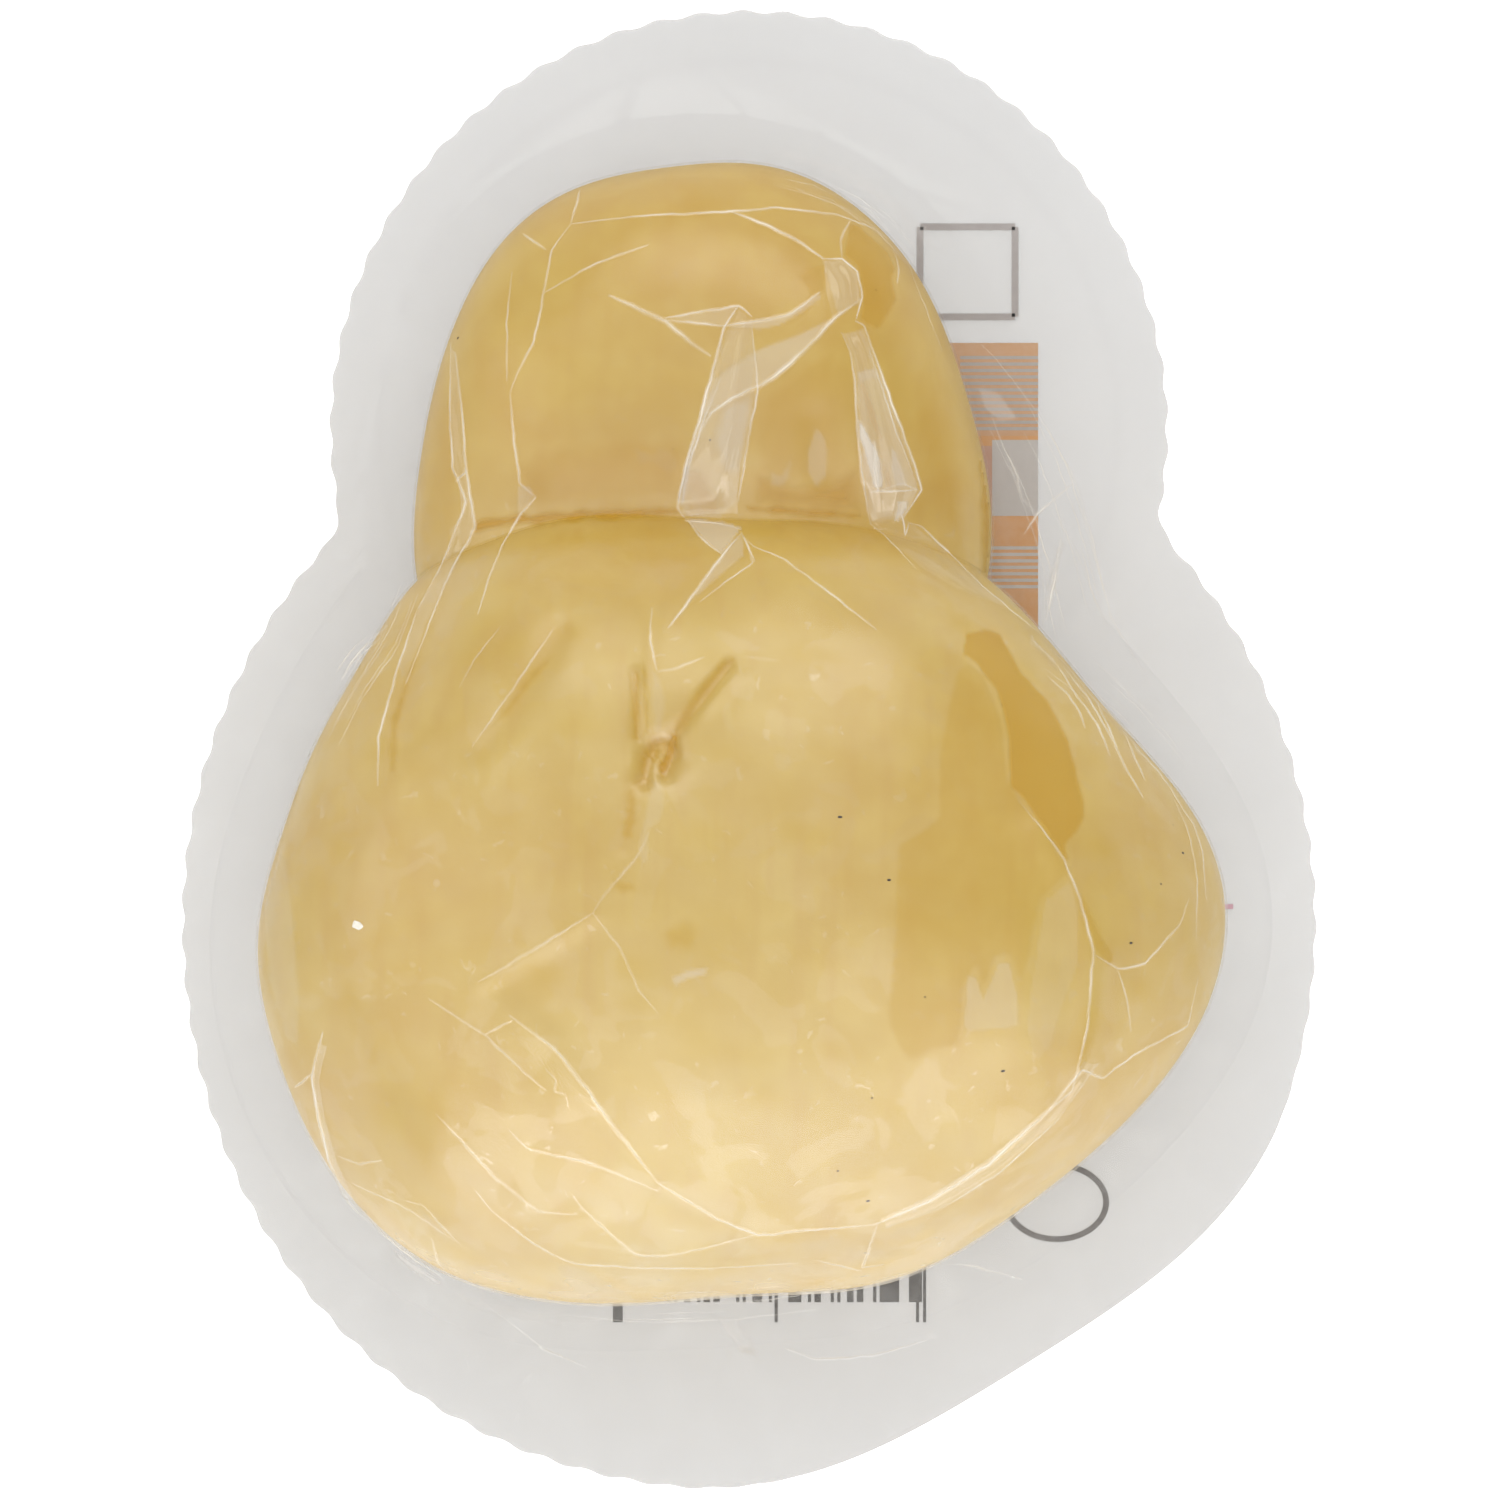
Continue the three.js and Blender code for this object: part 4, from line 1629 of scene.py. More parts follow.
@dataclass(frozen=True)
class CoverFilm:
    """The clear film: tight over the cheese, drawn in below its widest line, flat at the border."""

    sheet: BackingSheet = BackingSheet()
    body: Lobe = BODY
    head: Lobe = HEAD
    foot_spread: float = 6.0
    foot_sharpness: float = 3.0
    drawn_in: float = 0.9
    border_height: float = 0.06
    border_inset: float = 0.45
    ripple_height: float = 0.5
    ripples: tuple[int, ...] = (23, 37, 58)
    crease_angle: float = 42.0
    seed: int = 5
    haze: float = 0.03
    head_haze: float = 0.006
    # The extra haze low down the front, in the low band, is a painted sheen where the front light falls on
    # the film.
    painted_low_sheen: float = 0.15
    low_band: tuple[float, float] = (-28.0, -50.0)
    cheese_band: tuple[float, float] = (8.0, 14.0)
    tension_band: tuple[float, float] = (4.0, 16.0)
    cling_range: tuple[float, float] = (0.3, 1.7)
    wet_gain: float = 8.0
    cling: Unevenness = Unevenness(height=0.35, wavelength=4.5, waves=14, seed=6)
    tension: Unevenness = Unevenness(height=0.05, wavelength=7.0, waves=12, seed=16)
    finish: ClearFilm = ClearFilm()

    def skirt(self, lobe: Lobe) -> np.ndarray:
        """Makes the rings of the film's skirt, from a lobe's widest line to the sheet.

        Args:
            lobe: The lobe.

        Returns:
            Points by ring and by angle.
        """
        drop = (np.arange(1, lobe.skirt_rings + 1) / lobe.skirt_rings)[:, None]
        turned = np.where(lobe.angles > math.pi, lobe.angles - 2 * math.pi, lobe.angles)
        away = turned - math.radians(lobe.web.angle)
        foot = self.foot_spread + lobe.web.spread * bell(away, math.radians(lobe.web.half_angle))
        draw = np.random.default_rng(self.seed)
        starts = draw.uniform(0, 2 * math.pi, len(self.ripples))
        ripple = sum(np.sin(count * lobe.angles + start) for count, start in zip(self.ripples, starts))
        waist = np.sin(math.pi * drop) ** 2
        spread = foot * drop ** self.foot_sharpness - self.drawn_in * waist
        spread = spread + self.ripple_height * ripple * waist * drop ** 2
        x, y = lobe.around(lobe.outline() + spread)
        z = lobe.widest_at - (lobe.widest_at - self.sheet.thickness) * drop
        return np.stack([x, y, z + np.zeros_like(x)], -1)

    def solid(self, lobe: Lobe) -> Object:
        """Makes the film over one lobe, closed by a base on the sheet.

        Args:
            lobe: The lobe.

        Returns:
            The closed solid.
        """
        rings = np.concatenate([lobe.dome(0.0), self.skirt(lobe)])
        moved = lobe.shaped(np.vstack([lobe.top(0.0), rings.reshape(-1, 3)]))
        moved[:, 2] += self.tension.at(moved) * ramp(moved[:, 2], *self.tension_band)
        foot = np.array([*lobe.centre, self.sheet.thickness])
        return closed_rings("film", moved[0], moved[1:].reshape(rings.shape), foot)

    def border(self) -> Object:
        """Makes the flat border of film that is welded to the sheet.

        Returns:
            A thin plate.
        """
        places, inward, _, _ = self.sheet.outline()
        places = places + inward * self.border_inset
        count = len(places)
        low = np.column_stack([places, np.full(count, self.sheet.thickness)])
        high = low + (0, 0, self.border_height)
        sides = [(i, (i + 1) % count, count + (i + 1) % count, count + i) for i in range(count)]
        faces = [tuple(reversed(range(count))), tuple(range(count, 2 * count)), *sides]
        return mesh_object("border", np.vstack([low, high]), faces)

    def air(self, points: np.ndarray) -> np.ndarray:
        """Gives how hazy the film is: less on the head, more low down the front as a painted sheen, hardly
        where whey wets it or shade is painted.

        Args:
            points: Rows of millimetres.

        Returns:
            The share of the film that is milky.
        """
        up_neck = ramp(points[:, 1], *NECK_BAND)
        # Painted sheen: the haze grows low down the front of the body, where the front light falls.
        painted_sheen_share = ramp(points[:, 1], *self.low_band) ** 2 * ramp(points[:, 2], *self.cheese_band)
        haze = self.haze + (self.head_haze - self.haze) * up_neck + self.painted_low_sheen * painted_sheen_share
        pixels = VIEW.pixels_of(points)
        # The whey patches include the painted shade patches, which clear the film's haze as well.
        wet_and_shaded = sum(patch.share(pixels) for patch in WHEY_AND_SHADE_PATCHES)
        loose = np.clip(1 + self.cling.at(points), *self.cling_range)
        return haze * loose * (1 - np.clip(self.wet_gain * wet_and_shaded, 0, 1))

    def build(self) -> Object:
        """Joins the film's parts, and takes away the base so that one layer is left.

        Returns:
            The film.
        """
        film = union("cover_film", [self.solid(self.body), self.solid(self.head), self.border()])
        floor = (self.sheet.thickness + self.border_height / 4) * MM
        with edited(film.data) as shell:
            base = [face for face in shell.faces if min(corner.co.z for corner in face.verts) < floor]
            bmesh.ops.delete(shell, geom=base, context="FACES")
        film.data.shade_smooth()
        film.data.set_sharp_from_angle(angle=math.radians(self.crease_angle))
        add_values(film.data, air=self.air(mesh_points(film.data)))
        film.data.materials.clear()
        film.data.materials.append(self.finish.material())
        return film


@dataclass(frozen=True)
class Fold:
    """A fold of film between two edges, lifted off the cheese, with so many pleats across it."""

    name: str
    lift: float
    pleats: float
    white: float
    edge_a: Route
    edge_b: Route


FOLDS = tuple(starmap(Fold, (
    ("left pleat", 0.7, 2.0, 0.05,
     (738, 306, 716, 358, 700, 411, 685, 463, 678, 502, 684, 517),
     (752, 319, 755, 360, 748, 411, 741, 457, 737, 495, 738, 514)),
    ("knot", 0.5, 1.5, 0.05, (824, 262, 826, 290, 832, 316), (844, 260, 858, 275, 860, 305)),
    ("right pleat", 0.8, 2.0, 0.08,
     (842, 333, 851, 360, 855, 411, 860, 480, 872, 521),
     (864, 327, 881, 379, 899, 436, 918, 489, 905, 514)),
    ("shoulder flap", 0.35, 1.5, 0.05,
     (872, 523, 895, 546, 925, 570, 960, 590, 985, 600),
     (904, 517, 934, 542, 961, 565, 989, 592, 1010, 610)),
    ("left band", 0.35, 1.0, 0.05,
     (451, 342, 450, 412, 453, 467, 466, 502, 446, 558, 417, 611, 398, 668),
     (457, 352, 464, 419, 468, 470, 476, 527, 450, 577, 425, 626, 406, 684)),
    ("lower arc band", 0.35, 1.5, 0.12,
     (1085, 1060, 1049, 1106, 988, 1159, 927, 1197, 880, 1219),
     (1100, 1062, 1060, 1118, 1000, 1172, 938, 1210, 884, 1229)),
    ("lower left band", 0.3, 1.0, 0.14,
     (322, 1040, 311, 1076, 317, 1114, 328, 1160, 347, 1202),
     (327, 1046, 319, 1080, 325, 1118, 337, 1162, 354, 1200)),
)))


@dataclass(frozen=True)
class FilmFolds:
    """The film's folds, where it is wider than the cheese: milky strips that bridge the neck's crease."""

    steps_along: int = 72
    steps_across: int = 14
    clearance: float = 0.05
    pleat_height: float = 0.16
    bridge_steps: int = 7
    arch_across: float = 0.6
    arch_along: float = 0.4
    arch_ends: tuple[float, float] = (0.03, 0.97)
    wobble: float = 0.7
    wobble_rate: float = 5.0
    finish: ClearFilm = ClearFilm(milk="#e6e0d6")

    def bridged(self, heights: np.ndarray) -> np.ndarray:
        """Smooths lines of points along the fold, so that it spans a dip and doesn't follow it.

        Args:
            heights: Points by step along and by step across.

        Returns:
            The smoothed points.
        """
        reach = 2 * self.bridge_steps
        weights = bell(np.arange(-reach, reach + 1), self.bridge_steps)
        weights /= weights.sum()
        before, after = np.repeat(heights[:1], reach, 0), np.repeat(heights[-1:], reach, 0)
        padded = np.concatenate([before, heights, after])
        return sum(w * padded[i:i + len(heights)] for i, w in enumerate(weights))

    def strip(self, fold: Fold, skin: Skin) -> tuple[np.ndarray, np.ndarray]:
        """Lays one fold on the film.

        Args:
            fold: The fold.
            skin: The film's surface.

        Returns:
            Its points, and their place on the fold in millimetres along and across it.
        """
        rail_a = even_route(fold.edge_a, self.steps_along)
        rail_b = even_route(fold.edge_b, self.steps_along)
        across = np.linspace(0, 1, self.steps_across)
        pixels = rail_a[:, None] * (1 - across)[:, None] + rail_b[:, None] * across[:, None]
        places, normals, _ = skin.seen(pixels.reshape(-1, 2))
        shape = (self.steps_along, self.steps_across, 3)
        ground, upward = places.reshape(shape), self.bridged(normals.reshape(shape))
        along = np.linspace(0, 1, self.steps_along)[:, None]
        ends = np.sin(math.pi * np.clip(along, *self.arch_ends)) ** self.arch_along
        arch = np.sin(math.pi * across) ** self.arch_across * ends
        wobble = self.wobble * np.sin(self.wobble_rate * along + fold.pleats)
        pleats = np.sin(2 * math.pi * fold.pleats * across + wobble) * arch
        lifted = fold.lift * arch + self.pleat_height * pleats
        smooth = ground + (self.bridged(ground) - ground) * arch[..., None]
        points = smooth + upward * lifted[..., None]
        points[..., 2] = np.maximum(points[..., 2], ground[..., 2] + self.clearance)
        length = np.linalg.norm(np.diff(rail_a, axis=0), axis=1).sum() * VIEW.pixel
        width = np.linalg.norm(rail_a - rail_b, axis=1).mean() * VIEW.pixel
        sheet = np.stack(np.broadcast_arrays(along * length, across * width), -1)
        return points.reshape(-1, 3), sheet.reshape(-1, 2)

    def build(self, skin: Skin) -> Object:
        """Makes all the folds as one piece.

        Args:
            skin: The film's surface.

        Returns:
            The piece.
        """
        strips = [self.strip(fold, skin) for fold in FOLDS]
        per_strip = self.steps_along * self.steps_across
        quads = grid_faces(np.arange(per_strip).reshape(self.steps_along, self.steps_across))
        faces = np.concatenate([quads + i * per_strip for i in range(len(strips))])
        folds = mesh_object("film_folds", np.vstack([points for points, _ in strips]), faces.tolist())
        sheet = np.vstack([place for _, place in strips])
        layer = folds.data.uv_layers.new(name="fold")
        layer.data.foreach_set("uv", sheet[faces.ravel()].astype(np.float32).ravel())
        add_values(folds.data, white=np.repeat([fold.white for fold in FOLDS], per_strip))
        with edited(folds.data) as shell:
            shell.normal_update()
            bmesh.ops.reverse_faces(shell, faces=[face for face in shell.faces if face.normal.z < 0])
        folds.data.materials.append(self.finish.fold_material())
        return folds


@dataclass(frozen=True)
class Crease:
    """A sharp crease in the film: its width in millimetres, how white it is, and its route."""

    name: str
    width: float
    white: float
    route: Route


CREASES = tuple(starmap(Crease, (
    ("brow", 0.7, 0.7, (571, 224, 641, 216, 727, 212, 780, 208, 837, 215, 872, 228, 901, 248)),
    ("brow, left end", 0.6, 0.5, (580, 190, 571, 224)),
    ("brow fork", 0.9, 0.8, (726, 210, 764, 224, 796, 240, 824, 259)),
    ("above the knot", 0.5, 0.5, (850, 221, 840, 240, 842, 258)),
    ("temple", 0.6, 0.6, (571, 224, 552, 250, 544, 293, 534, 341, 517, 374, 510, 393)),
    ("cheek", 0.6, 0.6, (510, 393, 514, 438, 520, 483, 536, 497)),
    ("temple branch", 0.6, 0.5, (544, 293, 597, 263, 648, 245)),
    ("temple start", 0.6, 0.5, (523, 234, 546, 250)),
    ("temple partner", 0.45, 0.5, (512, 272, 507, 323, 507, 381)),
    ("left band", 0.7, 0.7, (451, 342, 450, 412, 453, 467, 466, 502, 443, 562, 417, 611)),
    ("left band, low", 0.8, 0.8, (417, 611, 398, 668, 379, 737, 378, 786)),
    ("left band partner", 0.7, 0.7, (455, 352, 463, 419, 466, 470, 475, 527, 448, 577, 406, 684)),
    ("left shoulder bunch, first", 1.1, 0.8, (341, 680, 356, 656, 372, 640, 388, 625)),
    ("left shoulder bunch, second", 0.9, 0.7, (347, 678, 362, 655, 381, 638)),
    ("left shoulder bunch, third", 0.8, 0.7, (336, 673, 350, 652, 368, 636)),
    ("left neck tie", 0.6, 0.7, (536, 497, 520, 515, 507, 537, 491, 572, 478, 615)),
    ("forehead", 0.9, 0.6, (608, 295, 665, 321, 690, 342, 711, 356)),
    ("flap top", 0.6, 0.7, (665, 318, 738, 306, 752, 317)),
    ("flap foot", 0.6, 0.6, (665, 320, 725, 326)),
    ("flap link", 0.8, 0.6, (724, 326, 771, 319, 793, 313, 820, 292)),
    ("left pleat, left", 0.7, 0.9, (738, 306, 724, 328, 701, 415, 688, 458, 679, 496, 678, 508, 684, 518)),
    ("left pleat, right", 0.5, 0.6, (752, 329, 758, 390, 751, 423, 741, 484, 738, 502)),
    ("left pleat, inner", 0.5, 0.5, (721, 378, 704, 420, 689, 464, 682, 505)),
    ("diagonal", 1.0, 0.8, (
        861, 299, 836, 317, 813, 341, 783, 370, 762, 384, 732, 398, 711, 413, 701, 431)),
    ("knot", 0.6, 0.9, (821, 259, 842, 259, 857, 272, 862, 298, 856, 319)),
    ("right pleat, left", 0.5, 0.5, (841, 332, 850, 351, 855, 382, 856, 413, 861, 464, 869, 517, 871, 525)),
    ("right pleat, right", 0.8, 0.9, (
        855, 321, 864, 326, 879, 368, 898, 421, 914, 464, 921, 490, 903, 518)),
    # Painted reflection: the white streak on the right pleat.
    ("right pleat streak", 1.2, 0.9, (874, 440, 878, 491)),
    ("right pleat foot", 0.5, 0.6, (870, 492, 915, 490)),
    ("neck stitch", 0.8, 0.9, (684, 521, 720, 524, 742, 530)),
    ("neck triangle", 0.6, 0.6, (684, 517, 707, 544, 723, 555)),
    ("below the neck", 0.8, 0.8, (742, 533, 722, 556, 690, 600, 668, 628)),
    ("below the neck, right", 0.5, 0.6, (741, 532, 755, 562)),
    ("collar", 0.6, 0.6, (744, 537, 753, 546, 785, 560, 836, 598, 877, 630)),
    ("right shoulder", 0.7, 0.8, (909, 523, 922, 527, 960, 564, 989, 592, 1038, 632, 1064, 653)),
    ("right shoulder partner", 0.5, 0.5, (870, 523, 895, 546, 916, 569)),
    ("breast", 0.45, 0.5, (652, 607, 650, 640, 657, 671)),
    ("breast, link", 0.5, 0.3, (658, 672, 680, 667, 704, 657)),
    ("below the pucker", 0.5, 0.2, (650, 830, 638, 856, 605, 894, 593, 913)),
    ("left cheek", 0.5, 0.4, (553, 629, 512, 690, 472, 747)),
    ("left cheek, second", 0.45, 0.3, (501, 626, 478, 655, 459, 688)),
    ("right temple", 0.5, 0.5, (893, 250, 899, 268, 897, 284)),
    ("right temple, second", 0.5, 0.35, (904, 252, 912, 274, 922, 300, 938, 340, 942, 352)),
    ("right edge", 0.8, 0.8, (
        1050, 649, 1066, 665, 1093, 698, 1118, 724, 1144, 756, 1168, 784, 1182, 808, 1194, 826,
        1202, 850, 1206, 900)),
    ("right edge, inner", 0.6, 0.5, (1174, 800, 1186, 826, 1193, 852, 1197, 882, 1196, 940)),
    ("shoulder line, first", 0.9, 0.6, (1047, 676, 1068, 695, 1079, 712, 1085, 729)),
    ("shoulder line, second", 1.0, 0.75, (1058, 666, 1077, 697, 1097, 724, 1110, 756)),
    ("shoulder line, third", 1.0, 0.8, (1064, 668, 1087, 697, 1101, 720, 1112, 741)),
    ("shoulder line, fourth", 1.0, 0.65, (1096, 701, 1108, 727, 1123, 764, 1143, 798)),
    ("shoulder line, fifth", 0.9, 0.6, (1123, 731, 1135, 758, 1145, 781)),
    ("right pleat, second line", 0.4, 0.6, (868, 347, 880, 382, 895, 429, 913, 474)),
    ("right pleat dart", 0.45, 0.8, (894, 521, 901, 511, 905, 535, 909, 523)),
    ("right pleat, low", 0.4, 0.5, (871, 492, 903, 484, 920, 491)),
    ("neck dart, right", 0.45, 0.6, (744, 537, 753, 563, 735, 575, 700, 602)),
    ("whey's edge", 0.35, 0.25, (1018, 800, 1042, 829, 1070, 866)),
    ("left band tie", 0.5, 0.5, (455, 482, 468, 470)),
    ("right web, second", 0.4, 0.3, (1052, 512, 1074, 546, 1099, 609, 1112, 640)),
    ("right web streak", 1.2, 0.6, (1061, 538, 1054, 580, 1046, 620)),
    ("middle fold", 0.5, 0.35, (593, 913, 543, 944, 498, 971, 478, 982)),
    ("middle fold branch", 0.4, 0.2, (593, 913, 620, 948, 639, 990, 658, 1013)),
    ("right arc", 0.7, 0.6, (1034, 818, 1064, 860, 1080, 900, 1093, 950, 1087, 1030, 1072, 1091)),
    ("lower arc", 1.0, 0.8, (1072, 1091, 1049, 1110, 988, 1164, 927, 1202, 873, 1225)),
    ("lower arc partner", 0.6, 0.6, (1060, 1118, 1000, 1172, 940, 1210)),
    ("lower arc, middle", 0.7, 0.7, (873, 1225, 797, 1231, 758, 1235, 716, 1218, 658, 1183)),
    ("lower arc, left", 0.7, 0.5, (658, 1183, 616, 1130, 586, 1088, 555, 1049, 509, 1015)),
    ("right branch", 0.6, 0.6, (1095, 955, 1118, 969, 1145, 963, 1179, 925, 1189, 898)),
    ("right branch, low", 0.5, 0.5, (1118, 971, 1126, 997, 1131, 1032)),
    ("right foot", 0.6, 0.7, (1049, 1110, 1082, 1070, 1103, 1078, 1133, 1055, 1187, 1026, 1198, 977)),
    ("left belly, first", 0.5, 0.35, (429, 999, 486, 1036, 524, 1072, 547, 1091)),
    ("left belly, link", 0.4, 0.4, (486, 1034, 513, 1020)),
    ("left belly, second", 0.6, 0.35, (436, 1114, 498, 1180, 538, 1211, 575, 1215)),
    ("left belly, third", 0.5, 0.35, (509, 1130, 528, 1149, 593, 1164, 658, 1191)),
    ("left belly, fourth", 0.6, 0.6, (
        476, 1191, 492, 1211, 522, 1235, 551, 1254, 578, 1264, 648, 1268, 715, 1268, 798, 1263)),
    ("left belly, fifth", 0.6, 0.4, (573, 1196, 584, 1210, 634, 1254, 659, 1256, 688, 1252, 755, 1235)),
    ("belly squiggle", 0.35, 0.25, (545, 1068, 556, 1080, 554, 1092, 566, 1094, 568, 1108)),
    ("left foot squiggle, first", 0.5, 0.4, (338, 1156, 360, 1164, 382, 1160)),
    ("left foot squiggle, second", 0.5, 0.4, (404, 1200, 424, 1206, 444, 1228, 462, 1246)),
    ("left foot squiggle, third", 0.5, 0.4, (432, 1238, 438, 1262, 452, 1278)),
    ("left foot, short", 0.5, 0.4, (352, 1183, 410, 1210, 455, 1241)),
    ("left foot", 1.0, 0.9, (323, 1032, 312, 1076, 318, 1114, 329, 1160, 348, 1202, 371, 1225)),
    ("left foot, low", 0.9, 0.9, (371, 1225, 410, 1256, 444, 1279)),
    ("left foot branch", 0.6, 0.6, (295, 1087, 312, 1074)),
    ("bottom", 0.6, 0.6, (877, 1225, 863, 1267, 885, 1264)),
    ("bottom, left", 0.5, 0.5, (816, 1260, 862, 1271)),
    ("right web", 0.5, 0.4, (977, 341, 996, 359, 1036, 411, 1072, 474, 1089, 527, 1111, 616, 1152, 688)),
    ("right web, inner", 0.8, 0.5, (992, 417, 1002, 444, 1017, 477, 1022, 499, 1037, 515)),
    ("right web, tie", 0.8, 0.6, (1072, 484, 1037, 514, 1024, 534)),
    ("bottom weld", 0.5, 0.4, (785, 1348, 816, 1359, 873, 1355, 927, 1340)),
    ("bottom weld, right", 0.6, 0.5, (934, 1264, 969, 1265, 1022, 1279)),
    ("bottom weld, left", 0.4, 0.3, (478, 1298, 543, 1348, 586, 1367)),
)))


@dataclass(frozen=True)
class WrinkleFan:
    """A bundle of fine wrinkles along a guide line, to so many millimetres either side of it."""

    name: str
    count: int
    spread: float
    seed: int
    guide: Route
    guide_steps: int = 40
    least_steps: int = 8
    bends: int = 4
    widths: tuple[float, float] = (0.3, 0.5)
    whites: tuple[float, float] = (0.25, 0.55)

    def creases(self) -> list[Crease]:
        """Draws the bundle's wrinkles, each over a part of the guide's length.

        Returns:
            The wrinkles.
        """
        draw = np.random.default_rng(self.seed)
        line = even_route(self.guide, self.guide_steps)
        run = np.gradient(line, axis=0)
        side = np.stack([-run[:, 1], run[:, 0]], -1) / np.linalg.norm(run, axis=1)[:, None]
        wrinkles = []
        for number in range(self.count):
            first, last = np.sort(draw.choice(self.guide_steps, 2, replace=False))
            last = min(last + self.least_steps, self.guide_steps - 1)
            away = draw.uniform(-1, 1) * self.spread / VIEW.pixel
            picked = np.linspace(first, last, self.bends).round().astype(int)
            points = line[picked] + side[picked] * away
            width, white = draw.uniform(*self.widths), draw.uniform(*self.whites)
            wrinkles.append(Crease(f"{self.name} {number}", width, white, tuple(points.ravel())))
        return wrinkles


WRINKLE_FANS = tuple(starmap(WrinkleFan, (
    ("head, upper right", 9, 1.8, 21, (740, 172, 810, 184, 870, 214, 915, 262)),
    ("right shoulder", 9, 2.2, 22, (1035, 640, 1085, 680, 1135, 725, 1175, 775)),
    ("right web", 8, 3.0, 23, (1000, 400, 1040, 480, 1065, 560, 1085, 640)),
    ("left shoulder", 9, 1.6, 24, (415, 560, 385, 640, 350, 690, 325, 740)),
    ("bottom", 8, 1.8, 25, (560, 1296, 640, 1304, 760, 1300, 880, 1280)),
)))


@dataclass(frozen=True)
class FilmCreases:
    """The film's creases: fine raised lines over it, made by sweeping a pointed section along them."""

    step: float = 4.0
    wander: float = 0.05
    wander_length: float = 3.5
    wander_rates: tuple[float, ...] = (1.0, 0.61, 1.73)
    clearance: float = 0.02
    slimness: float = 0.38
    taper: float = 0.45
    taper_ends: tuple[float, float] = (0.04, 0.96)
    patchiness: float = 0.25
    patch_rates: tuple[float, float] = (0.2, 0.45)
    crest_height: float = 0.16
    crest_power: float = 1.5
    section_points: int = 7
    longest_step: float = 1.6
    seed: int = 3
    finish: ClearFilm = ClearFilm(milk="#f6efe2")

    def tree(self) -> NodeTree:
        """Makes the tree that sweeps the pointed section along routes, thinner towards their ends.

        Returns:
            The tree, with the inputs Crest Height, Section Points and Material.
        """
        tree, start = new_tree("film_crease", {
            "Crest Height": "NodeSocketFloat", "Section Points": "NodeSocketInt",
            "Material": "NodeSocketMaterial"})
        curve = add_node(tree, "MeshToCurve", {"Mesh": start.outputs["Geometry"]})
        upward = add_node(tree, "InputNamedAttribute", {"Name": "upward"}, data_type="FLOAT_VECTOR")
        faced = add_node(tree, "SetCurveNormal", {"Curve": curve, "Normal": upward}, mode="FREE")
        width = add_node(tree, "InputNamedAttribute", {"Name": "width"}, data_type="FLOAT")
        flat = add_node(tree, "CurvePrimitiveLine", {"Start": (0, -1, 0), "End": (0, 1, 0)})
        section = add_node(tree, "ResampleCurve", {"Curve": flat, "Count": start.outputs["Section Points"]})
        place = add_node(tree, "InputPosition")
        sides = add_node(tree, "SeparateXYZ", {0: place})
        away = add_node(tree, "Math", {0: sides.outputs["Y"]}, operation="ABSOLUTE")
        crest = add_node(tree, "Math", {0: 1.0, 1: away}, operation="SUBTRACT")
        peak = add_node(tree, "Math", {0: crest, 1: self.crest_power}, operation="POWER")
        height = add_node(tree, "Math", {0: peak, 1: start.outputs["Crest Height"]}, operation="MULTIPLY")
        raise_by = add_node(tree, "CombineXYZ", {"X": height})
        marked = add_node(tree, "StoreNamedAttribute", {
            "Geometry": section, "Name": "crest", "Value": crest}, data_type="FLOAT", domain="POINT")
        pointed = add_node(tree, "SetPosition", {"Geometry": marked, "Offset": raise_by})
        swept = add_node(tree, "CurveToMesh", {
            "Curve": faced, "Profile Curve": pointed, "Scale": width, "Fill Caps": False})
        smooth = add_node(tree, "SetShadeSmooth", {"Geometry": swept})
        end_tree(tree, smooth, start.outputs["Material"])
        return tree

    def wandering(self, route: Route, draw: np.random.Generator) -> np.ndarray:
        """Draws a route with the small wobbles of real film.

        Args:
            route: Its points, in pixels.
            draw: The random numbers.

        Returns:
            The drawn pixels.
        """
        line = smooth_route(route, self.step, TAUTNESS)
        run = np.gradient(line, axis=0)
        side = np.stack([-run[:, 1], run[:, 0]], -1)
        side /= np.maximum(np.linalg.norm(run, axis=1), 1e-6)[:, None]
        along = np.arange(len(line)) * self.step * VIEW.pixel / self.wander_length
        turns = [2 * math.pi * along * rate + draw.uniform(0, PHASES) for rate in self.wander_rates]
        waves = sum(map(np.sin, turns))
        ends = np.sin(math.pi * np.linspace(0, 1, len(line)))
        return line + side * (self.wander / VIEW.pixel * waves * ends / 2)[:, None]

    def build(self, skin: Skin) -> Object:
        """Lays all the creases and wrinkles on the film as one piece.

        Args:
            skin: The film's surface.

        Returns:
            The piece.
        """
        draw = np.random.default_rng(self.seed)
        creases = [*CREASES, *[crease for fan in WRINKLE_FANS for crease in fan.creases()]]
        points, upward, widths, whites, edges = [], [], [], [], []
        for crease in creases:
            places, normals, _ = skin.seen(self.wandering(crease.route, draw))
            count = len(places)
            if count < 2:
                continue
            first = sum(map(len, points))
            steps = np.linalg.norm(np.diff(places, axis=0), axis=1)
            joined = first + np.flatnonzero(steps < self.longest_step)
            edges += np.column_stack([joined, joined + 1]).tolist()
            taper = np.sin(math.pi * np.linspace(*self.taper_ends, count)) ** self.taper
            points.append(places + self.clearance * normals)
            upward.append(normals)
            widths.append(crease.width * self.slimness * MM * taper)
            rate, phase = draw.uniform(*self.patch_rates), draw.uniform(0, PHASES)
            patches = np.sin(np.arange(count) * rate + phase)
            whites.append(crease.white * taper * (1 - self.patchiness + self.patchiness * patches))
        made = mesh_object("film_creases", np.vstack(points), [], edges)
        add_values(
            made.data, upward=np.vstack(upward), width=np.concatenate(widths), white=np.concatenate(whites))
        run_tree(made, self.tree(), {
            "Crest Height": self.crest_height, "Section Points": self.section_points,
            "Material": self.finish.crease_material()})
        return made


# Flecks on the rind


